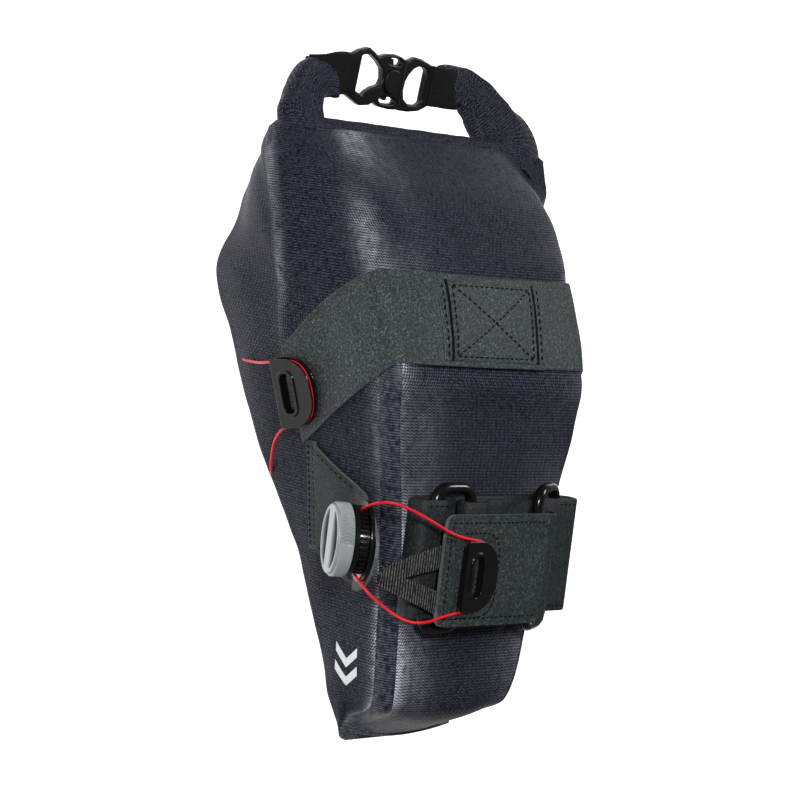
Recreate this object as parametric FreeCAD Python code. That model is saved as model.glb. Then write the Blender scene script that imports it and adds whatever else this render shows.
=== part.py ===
"""Roll-top saddle bag that hangs from a bicycle saddle's rails.

Frame: +X towards the narrow nose (forward on the bicycle), +Z up, -Y the near side,
which carries the side dial. The origin is on the top panel, in the middle of the
saddle-rail strap. Sizes are millimetres.
"""
import FreeCAD
import Part
import math
import os

V = FreeCAD.Vector

# ---------------------------------------------------------------- driving dimensions
CLOTH = 1.2                     # coated fabric of the bag's panels
LAMINATE = 1.6                  # laminated strap and tab material
GAP = 0.4                       # air between layers that only lie on each other
EDGE_CHAMFER = 6.0              # rounding of the bag's long edges
LACE_DIAMETER = 1.3
RING_WIRE = 5.0                 # diameter of the oval rings' wire
RING_HALF_LENGTH = 30.0         # centre of the wire, along X
RING_HALF_WIDTH = 11.0
RING_CORNER = 8.0
ROLL_RADIUS = 6.8
ROLL_HALF_LENGTH = 55.0         # straight stretch of the rolled mouth, each way from the middle
HANDLE_TILT = 30.0              # degrees that the roll's ends dip behind the mouth
HANDLE_REACH = 32.0             # from the roll's axis to the buckle's centre line
BUCKLE_TILT = -7.0              # degrees that the buckle itself dips
WEBBING_WIDTH = 18.0
WEBBING = 1.6
BUCKLE_HALF_LENGTH = 26.5
BUCKLE_WIDTH = 26.0
BUCKLE_THICKNESS = 4.0
GUIDE_LENGTH = 31.0             # flat side of the D-shaped lace guides
GUIDE_DEPTH = 20.0
GUIDE_CORNER = 13.0
GUIDE_LAYER = 1.1               # each guide's outer layers, either side of the lace
GUIDE_GROOVE = 2.0              # width of the groove for the lace
DIAL_TILT = 30.0                # degrees that the side dial faces below the horizontal
KNOB_RADIUS = 15.5
KNOB_RIBS = 36
RUN_SHARE = 0.45                # share of the shorter run that an arc of a lace may take

# Stations of the bag along X: half width and height of the top edge, of the side crease
# and of the bottom edge, and how far the top panel is crowned between its edges.
STATIONS = [
    # x, top half, top z, crease half, crease z, bottom half, bottom z, crown
    (-161.0, 46.5, -51.0, 84.6, -64.0, 63.2, -84.5, 3.5),
    (-150.0, 50.0, -40.0, 81.0, -64.0, 62.0, -95.0, 6.0),
    (-127.0, 55.0, -27.0, 73.0, -65.0, 56.5, -112.0, 8.0),
    (-103.0, 57.7, -12.0, 66.7, -66.0, 54.0, -124.0, 7.0),
    (-78.0, 57.5, -1.8, 62.0, -67.0, 53.0, -112.0, 3.5),
    (-50.0, 55.0, 0.0, 55.5, -60.0, 50.0, -100.0, 0.0),
    (-20.0, 49.0, 0.0, 50.0, -46.0, 45.5, -83.0, 0.0),
    (17.0, 43.0, 0.0, 44.0, -33.0, 41.0, -63.0, 0.0),
    (53.0, 39.5, 0.0, 39.8, -24.0, 37.0, -47.0, 0.0),
    (70.0, 37.0, -1.5, 37.2, -21.0, 35.2, -40.5, 0.0),
    (77.0, 36.0, -6.0, 36.2, -22.0, 34.6, -38.2, 0.0),
    (83.0, 35.0, -15.5, 35.2, -26.0, 34.0, -36.0, 0.0),
    (88.0, 33.5, -27.5, 33.6, -30.5, 33.0, -33.7, 0.0),
]
MOUTH_X = STATIONS[0][0]
NOSE_X = STATIONS[-1][0]


# ---------------------------------------------------------------- geometry helpers
def polygon(points):
    """A closed wire through the points."""
    return Part.makePolygon(list(points) + [points[0]])


def prism(points, direction):
    """A flat outline pushed along a direction."""
    return Part.Face(polygon(points)).extrude(direction)


def ruled(sections):
    """A solid between closed outlines that have the same number of points."""
    return Part.makeLoft([polygon(s) for s in sections], True, True)


def box(x, y, z):
    """A block from its (low, high) pairs."""
    return Part.makeBox(x[1] - x[0], y[1] - y[0], z[1] - z[0], V(x[0], y[0], z[0]))


def disc(radius, low, high, hole=0.0):
    """A round plate about the Z axis, with or without a hole."""
    plate = Part.makeCylinder(radius, high - low, V(0, 0, low))
    if hole:
        plate = plate.cut(Part.makeCylinder(hole, high - low + 2, V(0, 0, low - 1)))
    return plate


def mirrored(shape):
    """The far side's copy of a near side shape."""
    return shape.mirror(V(0, 0, 0), V(0, 1, 0))


def triangles(a, b, c, d):
    """The two flat faces of a four-sided patch."""
    return [Part.Face(polygon([a, b, c])), Part.Face(polygon([a, c, d]))]


def ribbon(rows, thickness, outward):
    """A thin sheet over rows of points, thickened along one outward vector per row."""
    upper = []
    for points, normal in zip(rows, outward):
        lift = V(normal).normalize() * thickness
        upper.append([p + lift for p in points])
    faces = []
    last = len(rows[0]) - 1
    for i in range(len(rows) - 1):
        for j in range(last):
            faces += triangles(rows[i][j], rows[i][j + 1], rows[i + 1][j + 1], rows[i + 1][j])
            faces += triangles(upper[i][j], upper[i + 1][j], upper[i + 1][j + 1], upper[i][j + 1])
        for j in (0, last):
            faces += triangles(rows[i][j], rows[i + 1][j], upper[i + 1][j], upper[i][j])
    for i in (0, len(rows) - 1):
        for j in range(last):
            faces += triangles(rows[i][j], upper[i][j], upper[i][j + 1], rows[i][j + 1])
    shell = Part.makeShell(faces)
    shell.sewShape()
    solid = Part.makeSolid(shell)
    if solid.Volume < 0:
        solid.reverse()
    return solid


def turn_at(before, corner, after):
    """Angle that a route turns at a corner, in radians."""
    return (corner - before).getAngle(after - corner)


def corner_edges(before, corner, after, radius, start):
    """The straight edge up to a corner's arc, the arc, and the point where it ends."""
    half = turn_at(before, corner, after) / 2
    reach = radius * math.tan(half)
    into = (corner - before).normalize()
    out = (after - corner).normalize()
    begin = corner - into * reach
    end = corner + out * reach
    inside = (out - into).normalize()
    middle = corner + inside * (radius / math.cos(half) - radius)
    return [Part.LineSegment(start, begin).toShape(), Part.Arc(begin, middle, end).toShape()], end


def rounded_path(points, radii):
    """Straight runs between points, joined by tangent arcs of the given radii."""
    edges = []
    start = points[0]
    for i, radius in enumerate(radii, start=1):
        made, start = corner_edges(points[i - 1], points[i], points[i + 1], radius, start)
        edges += made
    edges.append(Part.LineSegment(start, points[-1]).toShape())
    return Part.Wire(edges)


def tube(wire, diameter):
    """A round solid along a path of runs and tangent arcs."""
    edge = wire.Edges[0]
    start = edge.valueAt(edge.FirstParameter)
    along = edge.tangentAt(edge.FirstParameter)
    circle = Part.Wire(Part.makeCircle(diameter / 2, start, along))
    return wire.makePipeShell([circle], True, True)


def lace(name, points):
    """A lace along its route, with arcs as large as its runs allow."""
    radii = []
    for before, corner, after in zip(points, points[1:], points[2:]):
        shorter = min((corner - before).Length, (after - corner).Length)
        radii.append(RUN_SHARE * shorter / math.tan(turn_at(before, corner, after) / 2))
    path = rounded_path(points, radii)
    solid = tube(path, LACE_DIAMETER)
    section = math.pi * LACE_DIAMETER ** 2 / 4
    print(name, "radii", [round(r, 1) for r in radii])
    print(name, "length", round(path.Length, 1), "volume", round(solid.Volume, 1),
          "section x length", round(section * path.Length, 1))
    return solid


def strap(profile, radius, thickness, x_low, x_high):
    """A flat strap whose centre line is a rounded path across the bag, seen along X."""
    points = [V(0, y, z) for y, z in profile]
    radii = []
    for before, corner, after in zip(points, points[1:], points[2:]):
        shorter = min((corner - before).Length, (after - corner).Length)
        widest = RUN_SHARE * shorter / math.tan(turn_at(before, corner, after) / 2)
        radii.append(min(radius, widest))
    path = rounded_path(points, radii)
    along = (points[1] - points[0]).normalize()
    rise = V(1, 0, 0).cross(along) * (thickness / 2)
    start = [points[0] + V(x, 0, 0) for x in (x_low, x_high)]
    section = [start[0] - rise, start[1] - rise, start[1] + rise, start[0] + rise]
    return path.makePipeShell([polygon(section)], True, False)


def placed(shape, origin, x_axis, z_axis):
    """A shape modelled about its own origin, moved to a place with given axes."""
    x = V(x_axis).normalize()
    z = V(z_axis).normalize()
    y = z.cross(x)
    matrix = FreeCAD.Matrix(x.x, y.x, z.x, origin.x,
                            x.y, y.y, z.y, origin.y,
                            x.z, y.z, z.z, origin.z,
                            0, 0, 0, 1)
    moved = shape.copy()
    moved.Placement = FreeCAD.Placement(matrix).multiply(shape.Placement)
    return moved


def moved_point(point, origin, x_axis, z_axis):
    """A point of a shape's own frame, in the bag's frame."""
    x = V(x_axis).normalize()
    z = V(z_axis).normalize()
    y = z.cross(x)
    return origin + x * point.x + y * point.y + z * point.z


# ---------------------------------------------------------------- the bag's outline
def station(x):
    """The outline's sizes at any X, straight between the stations."""
    for low, high in zip(STATIONS, STATIONS[1:]):
        if x <= high[0]:
            share = (x - low[0]) / (high[0] - low[0])
            return [a + (b - a) * share for a, b in zip(low[1:], high[1:])]
    return list(STATIONS[-1][1:])


def chamfer_at(top_z, bottom_z):
    """The long edges' rounding, smaller where the bag is thin."""
    return min(EDGE_CHAMFER, 0.28 * (top_z - bottom_z))


def ring_points(x):
    """The outline at X as (y, z) points, from the near crease over the top and around."""
    top, top_z, crease, crease_z, bottom, bottom_z, crown = station(x)
    k = chamfer_at(top_z, bottom_z)
    return [(-crease, crease_z), (-top, top_z - k), (-top + k, top_z), (0, top_z + crown),
            (top - k, top_z), (top, top_z - k), (crease, crease_z), (bottom, bottom_z + k),
            (bottom - k, bottom_z), (k - bottom, bottom_z), (-bottom, bottom_z + k)]


def inset(points, depth):
    """An outline moved inwards by the same depth on every side."""
    result = []
    count = len(points)
    for i, (y, z) in enumerate(points):
        before = points[i - 1]
        after = points[(i + 1) % count]
        first = V(y - before[0], z - before[1], 0).normalize()
        second = V(after[0] - y, after[1] - z, 0).normalize()
        inward = V(first.y + second.y, -first.x - second.x, 0)
        shift = inward * (depth / (1 + first.dot(second)))
        result.append((y + shift.x, z + shift.y))
    return result


def panel(indices):
    """One cloth panel of the bag, between two of the outline's points."""
    sections = []
    for row in STATIONS:
        x = row[0]
        outer = ring_points(x)
        inner = inset(outer, CLOTH)
        there = [V(x, *outer[i]) for i in indices]
        back = [V(x, *inner[i]) for i in reversed(indices)]
        sections.append(there + back)
    return ruled(sections)


def top_z(x, y):
    """Height of the top panel over a point."""
    points = ring_points(x)[1:6]
    for (y0, z0), (y1, z1) in zip(points, points[1:]):
        if y <= y1:
            return z0 + (z1 - z0) * (y - y0) / (y1 - y0)
    return points[-1][1]


def near_y(x, z):
    """Y of the near side panel at a height."""
    points = ring_points(x)
    below = (points[10], points[0], points[1])
    for (y0, z0), (y1, z1) in zip(below, below[1:]):
        if z <= z1:
            return y0 + (y1 - y0) * (z - z0) / (z1 - z0)
    return below[-1][0]


def shell_parts():
    """The panels that are welded into the bag, its nose and its stiffener."""
    nose = [V(NOSE_X, y, z) for y, z in ring_points(NOSE_X)]
    return {
        "shell_top_panel": panel([1, 2, 3, 4, 5]),
        "shell_side_far": panel([5, 6, 7]),
        "shell_bottom_panel": panel([7, 8, 9, 10]),
        "shell_side_near": panel([10, 0, 1]),
        "shell_nose_panel": prism(nose, V(CLOTH, 0, 0)),
        "top_stiffener": box((-46, 52), (-30, 30), (-CLOTH - 1.4, -CLOTH - 0.2)),
    }


def seam_tape():
    """The welded tape along the near side's top edge, from the band to the nose."""
    rows = []
    for x in (-66.0, -50.0, -20.0, 17.0, 53.0, 61.0, 70.0, 77.0, 83.0):
        high = ring_points(x)[1][1]
        rows.append([V(x, near_y(x, z) - GAP, z) for z in (high, high - 4.0, high - 8.0)])
    return ribbon(rows, 0.4, [V(0, -1, 0)] * len(rows))


# ---------------------------------------------------------------- the rolled mouth
ROLL_CENTRE = V(MOUTH_X - 6.6, 0, -68.7)
TILT = math.radians(HANDLE_TILT)
REARWARD = V(-math.cos(TILT), 0, -math.sin(TILT))
HANDLE_NORMAL = V(-math.sin(TILT), 0, math.cos(TILT))
BUCKLE_CENTRE = ROLL_CENTRE + REARWARD * HANDLE_REACH


def roll_parts():
    """The mouth rolled up around its stiffener, and the two ends bent back."""
    length = 2 * ROLL_HALF_LENGTH
    roll = Part.makeCylinder(ROLL_RADIUS, length, ROLL_CENTRE - V(0, ROLL_HALF_LENGTH, 0), V(0, 1, 0))
    fold = [V(MOUTH_X, y, z) for y, z in inset(ring_points(MOUTH_X), CLOTH + 0.3)]
    roll = roll.fuse(prism(fold, V(-1.2, 0, 0))).removeSplitter()
    core = box((-1.0, 1.0), (-ROLL_HALF_LENGTH - 1, ROLL_HALF_LENGTH + 1), (-4.6, 4.6))
    core.translate(ROLL_CENTRE)
    batten = box((-0.8, 0.8), (1 - ROLL_HALF_LENGTH, ROLL_HALF_LENGTH - 1), (-4.3, 4.3))
    batten.translate(ROLL_CENTRE)
    near_end = roll_end()
    return {
        "roll_top": roll.cut(core),
        "roll_stiffener": batten,
        "roll_end_near": near_end,
        "roll_end_far": mirrored(near_end),
    }


def roll_end():
    """The near end of the roll: a flattened tube bent half round towards the buckle."""
    radius = HANDLE_REACH / 2
    centre = ROLL_CENTRE + REARWARD * radius + V(0, -ROLL_HALF_LENGTH - 0.1, 0)
    start = centre - REARWARD * radius
    ellipse = Part.Ellipse(start + REARWARD * 9.0, start + HANDLE_NORMAL * 5.0, start)
    face = Part.Face(Part.Wire(ellipse.toShape()))
    bend = face.revolve(centre, HANDLE_NORMAL, -180)
    if bend.BoundBox.YMax > centre.y + 1:
        bend = face.revolve(centre, HANDLE_NORMAL, 180)
    keep = box((-260, MOUTH_X - 1.6), (-120, 0), (-140, 0))
    return bend.common(keep)


def in_handle(shape):
    """A shape modelled flat about the buckle's centre, moved onto the bent handle."""
    tilt = math.radians(BUCKLE_TILT)
    x_axis = V(math.cos(tilt), 0, math.sin(tilt))
    return placed(shape, BUCKLE_CENTRE, x_axis, x_axis.cross(V(0, 1, 0)))


def webbing():
    """The near webbing, from the roll's end round the buckle's bar and back."""
    bar = -BUCKLE_HALF_LENGTH + 2.0
    rise = BUCKLE_THICKNESS / 2 + 1.0
    profile = [(-ROLL_HALF_LENGTH + 0.1, 0.0), (bar - 9.0, 0.0), (bar - 5.0, -rise),
               (bar + 3.0, -rise), (bar + 3.0, rise), (bar - 8.5, rise), (bar - 13.0, rise - 1.0)]
    half = WEBBING_WIDTH / 2
    return in_handle(strap(profile, 1.2, WEBBING, -half, half))


def window(low, high, wide, narrow):
    """An opening that narrows from one end to the other, cut right through a buckle."""
    points = [V(-wide, low, -9), V(wide, low, -9), V(narrow, high, -9), V(-narrow, high, -9)]
    return prism(points, V(0, 0, 18))


def buckle_parts():
    """The side-release buckle: female and male halves and the male's two prongs."""
    half = BUCKLE_HALF_LENGTH
    wide = BUCKLE_WIDTH / 2
    thick = BUCKLE_THICKNESS / 2
    outline = [(-wide, -half), (wide, -half), (wide, -half + 8), (wide - 2.5, -8), (wide, -4),
               (wide, 5), (-wide, 5), (-wide, -4), (2.5 - wide, -8), (-wide, -half + 8)]
    female = prism([V(x, y, -thick) for x, y in outline], V(0, 0, 2 * thick))
    female = female.cut(window(-half + 4, -10, wide - 2.6, wide - 6.5))
    female = female.cut(box((-8.6, 8.6), (-7.5, 6), (-1.5, 1.5)))
    for side in (-1, 1):
        slot = box((-1.6, 1.6), (-3.6, 3.2), (-9, 9))
        slot.translate(V(side * 8.6, 0, 0))
        female = female.cut(slot)
    outline = [(-wide, half), (wide, half), (wide, half - 8), (wide - 2, 5.4), (2 - wide, 5.4),
               (-wide, half - 8)]
    male = prism([V(x, y, -thick) for x, y in outline], V(0, 0, 2 * thick))
    male = male.cut(window(half - 4, 9.5, wide - 2.6, wide - 5.5))
    tongue = box((-1.8, 1.8), (-5.5, 5.6), (-1.2, 1.2))
    prong = [(4.2, 5.4), (4.2, -6.4), (6.6, -6.4), (9.4, -2.6), (9.4, -1.0), (6.8, -0.4), (6.8, 5.4)]
    prongs = []
    for side in (-1, 1):
        prongs.append(prism([V(side * x, y, -1.2) for x, y in prong], V(0, 0, 2.4)))
    near_webbing = webbing()
    return {
        "buckle_female": in_handle(female),
        "buckle_male": in_handle(male.fuse(tongue)),
        "buckle_male_prongs": in_handle(Part.makeCompound(prongs)),
        "buckle_webbing_near": near_webbing,
        "buckle_webbing_far": mirrored(near_webbing),
    }


# ---------------------------------------------------------------- lace guides
def guide_outline(shrink):
    """The D outline as a wire: flat side on the X axis, round side towards +Y."""
    half = GUIDE_LENGTH / 2 - shrink
    depth = GUIDE_DEPTH - shrink
    radius = GUIDE_CORNER - shrink
    cut = radius * (1 - math.sqrt(0.5))
    low = depth - radius
    right_low = V(half, low, 0)
    right_mid = V(half - cut, depth - cut, 0)
    right_top = V(half - radius, depth, 0)
    left_low = V(-half, low, 0)
    left_mid = V(cut - half, depth - cut, 0)
    left_top = V(radius - half, depth, 0)
    edges = [Part.LineSegment(V(-half, 0, 0), V(half, 0, 0)).toShape(),
             Part.LineSegment(V(half, 0, 0), right_low).toShape(),
             Part.Arc(right_low, right_mid, right_top).toShape(),
             Part.LineSegment(right_top, left_top).toShape(),
             Part.Arc(left_top, left_mid, left_low).toShape(),
             Part.LineSegment(left_low, V(-half, 0, 0)).toShape()]
    return Part.Wire(edges)


def guide_layer(shrink, low, high):
    """One layer of a guide between two heights."""
    layer = Part.Face(guide_outline(shrink)).extrude(V(0, 0, high - low))
    layer.translate(V(0, 0, low))
    return layer


def slot_tool(half_length, radius, low, high):
    """An oval slot along X."""
    middle = box((-half_length, half_length), (-radius, radius), (low, high))
    for end in (-half_length, half_length):
        middle = middle.fuse(Part.makeCylinder(radius, high - low, V(end, 0, low)))
    return middle


def lace_guide(foot, flange):
    """A D-shaped guide on a foot of some height: a lace groove round it and an oval slot."""
    groove_top = foot + GUIDE_GROOVE
    top = groove_top + GUIDE_LAYER
    body = guide_layer(0.0, 0.0, foot)
    body = body.fuse(guide_layer(3.0, foot, groove_top))
    body = body.fuse(guide_layer(0.5, groove_top, top))
    centre = V(0, 7.2, 0)
    rim = slot_tool(5.8, 4.4, top, top + 0.7)
    rim.translate(centre)
    hole = slot_tool(5.8, 2.9, -1.0, top + 2.0)
    hole.translate(centre)
    body = body.fuse(rim).cut(hole)
    if flange:
        half = GUIDE_LENGTH / 2
        body = body.fuse(box((-half, half), (-8.0, 1.0), (0.0, flange)))
    return body.removeSplitter()


def groove_corners(height):
    """Where a lace enters a guide's groove, its two corners, and where it leaves."""
    x = GUIDE_LENGTH / 2 - 1.7
    y = GUIDE_DEPTH - 1.7
    return [V(-x, -4.0, height), V(-x, y, height), V(x, y, height), V(x, -4.0, height)]


# ---------------------------------------------------------------- compression band
BAND_REAR = -115.0
BAND_FRONT = -78.0
WING_REAR = V(-74.0, 0, -66.0)
WING_FRONT = V(-34.0, 0, -59.5)
BAND_SHARES = (0.0, 0.2, 0.4, 0.6, 0.8, 1.0)
WING_STEPS = (0.0, 0.25, 0.5, 0.7, 0.85, 1.0)
WING_LIFT = 1.1                      # air under the wing, which bridges the side panel's crease


def band_row(y_share, lift):
    """Points of the band across its width, at a share of the way from the middle to the edge."""
    row = []
    for share in BAND_SHARES:
        x = BAND_REAR + (BAND_FRONT - BAND_REAR) * share
        top, height, _, _, _, bottom_z, _ = station(x)
        y = -y_share * (top - chamfer_at(height, bottom_z))
        row.append(V(x, y, top_z(x, y) + lift))
    return row


def wing_row(down):
    """Points of the wing across its width, at a share of the way down the side panel."""
    row = []
    for share in BAND_SHARES:
        ridge_x = BAND_REAR + (BAND_FRONT - BAND_REAR) * share
        ridge_z = ring_points(ridge_x)[1][1] - 0.5
        end = WING_REAR + (WING_FRONT - WING_REAR) * share
        x = ridge_x + (end.x - ridge_x) * down
        z = ridge_z + (end.z - ridge_z) * down
        row.append(V(x, near_y(x, z) - WING_LIFT, z))
    return row


def band(inner_end, layer):
    """One half of the compression band: over the top panel, then down the side as a wing."""
    rows = [band_row(inner_end, layer), band_row(0.0, layer), band_row(0.85, layer)]
    rows += [band_row(1.0, WING_LIFT)]
    rows += [wing_row(down) for down in WING_STEPS]
    outward = [V(0, 0, 1)] * 3 + [V(0, -0.35, 1)] + [V(0, -1, 0.45)]
    outward += [V(0.1, -1, 0.1)] * (len(WING_STEPS) - 1)
    return ribbon(rows, 1.3, outward)


GUIDE_ORIGIN = V(-56.5, -63.0, -63.0)
GUIDE_X = V(0.954, 0.25, 0.167)
GUIDE_Z = V(0.222, -0.96, 0.168)


def on_wing(shape):
    """A shape modelled about the near wing guide's flat side, moved onto the wing."""
    return placed(shape, GUIDE_ORIGIN, GUIDE_X, GUIDE_Z)


def band_parts():
    """The two halves of the band, its stitched patch and the two wing guides."""
    guide = on_wing(lace_guide(GUIDE_LAYER, 0.0))
    rows = []
    for y_share in (-0.45, 0.0, 0.78):
        rows.append(band_row(y_share, GAP + 4.2))
    return {
        "compression_band_near": band(-0.5, GAP + 2.3),
        "compression_band_far": mirrored(band(-0.75, GAP + 0.6)),
        "band_patch": ribbon(rows, 0.8, [V(0, 0, 1)] * 3),
        "wing_guide_near": guide,
        "wing_guide_far": mirrored(guide),
    }


# ---------------------------------------------------------------- dials
LACE_EXIT = V(13.3, 2.5, 3.4)       # on the cup's outer wall, in the dial's own frame


def knob():
    """The dial's cap: a ribbed rim, a flat bar across the face and two finger recesses."""
    low, rim_top, top = 7.7, 13.4, 15.0
    body = disc(KNOB_RADIUS, low, rim_top)
    crown = Part.makeCone(KNOB_RADIUS - 0.6, KNOB_RADIUS - 3.0, top - rim_top, V(0, 0, rim_top))
    body = body.fuse(crown)
    ribs = []
    for i in range(KNOB_RIBS):
        angle = 360.0 * i / KNOB_RIBS
        groove = Part.makeCylinder(0.75, rim_top - low + 2, V(KNOB_RADIUS + 0.15, 0, low - 1))
        groove.rotate(V(0, 0, 0), V(0, 0, 1), angle)
        ribs.append(groove)
    body = body.cut(Part.makeCompound(ribs))
    recess = disc(KNOB_RADIUS - 4.2, 12.6, top + 1)
    bar = box((-20, 20), (-4.6, 4.6), (12, top + 2))
    body = body.cut(recess.cut(bar))
    return body.cut(disc(2.05, low - 1, 11.6))


def dial_base(flange_radius):
    """Flange and cup of a dial, with a boss, and holes where the two laces leave."""
    base = disc(flange_radius, 0.0, 1.4)
    base = base.fuse(disc(13.5, 1.4, 5.4, 12.2))
    base = base.cut(Part.makeCylinder(2.1, 3.0, V(0, 0, 0.5)))
    for side in (-1, 1):
        direction = V(side * LACE_EXIT.x, LACE_EXIT.y, 0)
        base = base.cut(Part.makeCylinder(1.4, 6.0, V(0, 0, LACE_EXIT.z) + direction * 0.75, direction))
    return base.removeSplitter()


def dial_parts(prefix):
    """All pieces of one lacing dial, about its own origin with +Z out of the bag."""
    spool = disc(11.6, 1.7, 2.4, 2.1).fuse(disc(7.5, 2.4, 4.4, 2.1)).fuse(disc(11.6, 4.4, 5.1, 2.1))
    housing = disc(14.9, 5.5, 7.3, 12.3)
    teeth = []
    for i in range(KNOB_RIBS):
        tooth = Part.makeCylinder(0.5, 3.0, V(12.3, 0, 5.2))
        tooth.rotate(V(0, 0, 0), V(0, 0, 1), 360.0 * i / KNOB_RIBS)
        teeth.append(tooth)
    housing = housing.cut(Part.makeCompound(teeth))
    return {
        prefix + "_base": dial_base(17.0),
        prefix + "_spool": spool.removeSplitter(),
        prefix + "_ratchet_ring": housing,
        prefix + "_pawl_disc": disc(11.9, 5.7, 7.1, 2.05),
        prefix + "_stem": Part.makeCylinder(2.0, 10.6, V(0, 0, 0.8)),
        prefix + "_knob": knob(),
    }


DIAL_ANGLE = math.radians(DIAL_TILT)
SIDE_DIAL_AXIS = V(0, -math.cos(DIAL_ANGLE), -math.sin(DIAL_ANGLE))
SIDE_DIAL_X = V(1, 0, 0)
UNDER_DIAL_AXIS = V(0.475, 0, -0.880)
UNDER_DIAL_X = V(0, -1, 0)
UNDER_DIAL_ORIGIN = V(3.0, 0, station(3.0)[5] - GAP) + UNDER_DIAL_AXIS * (LAMINATE + 0.3)
TAB_ROOT_Z = -47.0
TAB_BEND = 26.0                      # length of tab that lies on the side panel
TAB_FOOT = V(0, -48.9, TAB_ROOT_Z + TAB_BEND)
TAB_UP = V(0, -math.sin(DIAL_ANGLE), math.cos(DIAL_ANGLE))
SIDE_DIAL_ORIGIN = V(-3.0, 0, 0) + TAB_FOOT + TAB_UP * 18.6 + SIDE_DIAL_AXIS * (LAMINATE + 0.3)
# Length up the tab from its root, and its two edges along X there.
TAB_OUTLINE = [(0.0, -37.0, 8.0), (12.0, -30.5, 16.0), (26.0, -23.5, 20.0), (40.0, -18.5, 19.0),
               (50.0, -14.5, 15.0), (57.0, -10.0, 9.5), (61.0, -6.5, 4.0), (62.5, -4.5, 1.0)]


def tab_point(x, along):
    """A point of the side dial's tab: flat on the panel, then standing away from it."""
    if along < TAB_BEND:
        z = TAB_ROOT_Z + along
        return V(x, near_y(x, z) - 0.5, z)
    up = along - TAB_BEND
    settle = max(0.0, 1 - up / 7.0)
    point = TAB_FOOT + TAB_UP * up
    panel_y = near_y(x, TAB_FOOT.z) - 0.5
    return V(x, point.y + (panel_y - TAB_FOOT.y) * settle, point.z)


def side_dial_parts():
    """The side dial on its tab, with the welt where the tab comes out of the panel."""
    rows = []
    outward = []
    for along, low, high in TAB_OUTLINE:
        rows.append([tab_point(low, along), tab_point((low + high) / 2, along), tab_point(high, along)])
        outward.append(SIDE_DIAL_AXIS if along > TAB_BEND else V(0.12, -1, 0))
    welt_rows = []
    for x in (-38.0, -14.0, 9.0):
        welt_rows.append([V(x, near_y(x, z) - 0.8, z) for z in (TAB_ROOT_Z - 0.6, TAB_ROOT_Z - 5.6)])
    parts = {
        "side_dial_tab": ribbon(rows, LAMINATE, outward),
        "side_slit_welt": ribbon(welt_rows, 1.4, [V(0.12, -1, 0)] * 3),
    }
    for name, shape in dial_parts("side_dial").items():
        parts[name] = placed(shape, SIDE_DIAL_ORIGIN, SIDE_DIAL_X, SIDE_DIAL_AXIS)
    seat = placed(disc(17.3, -0.1, 3.0), SIDE_DIAL_ORIGIN, SIDE_DIAL_X, SIDE_DIAL_AXIS)
    parts["side_dial_tab"] = parts["side_dial_tab"].cut(seat)
    return parts


def under_dial_parts():
    """The dial under the bag, on a patch on the bottom panel."""
    rows = []
    for x in (-18.0, 17.0, 28.0):
        z = station(x)[5] - GAP
        rows.append([V(x, y, z) for y in (-24.0, 24.0)])
    parts = {"under_dial_patch": ribbon(rows, LAMINATE, [UNDER_DIAL_AXIS] * 3)}
    for name, shape in dial_parts("under_dial").items():
        parts[name] = placed(shape, UNDER_DIAL_ORIGIN, UNDER_DIAL_X, UNDER_DIAL_AXIS)
    return parts


# ---------------------------------------------------------------- saddle-rail strap
RING_CENTRE_X = 2.5
NEAR_BARS = ((-34.0, 7.0), (-12.0, 7.0))       # (y, z) of the near ring's two long bars
FAR_BARS = ((22.5, 14.0), (43.0, 5.2))
BASE_X = (-23.0, 27.0)
INNER_X = (-22.0, 27.0)
FLAP_X = (-18.0, 29.5)
FLAP_Z = 17.8
BEND_CENTRE = (28.0, 12.1)
BEND_RADIUS = FLAP_Z - BEND_CENTRE[1]
FLAP_EDGE_Y = -36.0
FLAP_THICKNESS = 1.8
FLAP_GUIDE = V(7.75, -25.5, 16.2)              # middle of the guide's flat side
FLAP_GUIDE_FOOT = 2.4                          # the guide's lower layer, as deep as the flap


def ring_between(bars):
    """An oval ring whose two long bars lie at the given places."""
    (y0, z0), (y1, z1) = bars
    across = V(0, y1 - y0, z1 - z0)
    half = across.Length / 2
    length = RING_HALF_LENGTH
    corners = [V(-length, -half, 0), V(length, -half, 0), V(length, half, 0), V(-length, half, 0)]
    start = V(0, -half, 0)
    route = [start] + corners[1:] + corners[:1] + [start]
    path = rounded_path(route, [RING_CORNER] * 4)
    ring = tube(path, RING_WIRE)
    centre = V(RING_CENTRE_X, (y0 + y1) / 2, (z0 + z1) / 2)
    return placed(ring, centre, V(1, 0, 0), V(1, 0, 0).cross(across))


def flap():
    """The strap's outer end, with a D-shaped opening for its guide."""
    start = BEND_CENTRE[0] - 1.5
    low = FLAP_Z - FLAP_THICKNESS / 2
    corner = 4.0
    x0, x1 = FLAP_X
    y0 = FLAP_EDGE_Y
    outline = [V(x0, start, low), V(x0, y0 + corner, low), V(x0 + corner, y0, low),
               V(x1 - corner, y0, low), V(x1, y0 + corner, low), V(x1, start, low)]
    sheet = prism(outline, V(0, 0, FLAP_THICKNESS))
    opening = Part.Face(guide_outline(-0.8)).extrude(V(0, 0, 6))
    opening.translate(V(FLAP_GUIDE.x, FLAP_GUIDE.y - 0.01, low - 2))
    return sheet.cut(opening)


def pull_loop():
    """A narrow webbing loop that hangs from the flap's free edge."""
    outline = [(-6.5, 0.0), (3.2, 32.0), (13.4, 32.0), (26.0, 0.0), (15.6, 0.0), (8.6, 18.5), (4.4, 0.0)]
    solid = prism([V(x, t, 0) for x, t in outline], V(0, 0, 1.3))
    root = V(0, FLAP_EDGE_Y + 3.0, FLAP_Z - FLAP_THICKNESS / 2 - 1.5)
    down = V(0, -0.985, -0.17)
    return placed(solid, root, V(1, 0, 0), V(1, 0, 0).cross(down))


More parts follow.
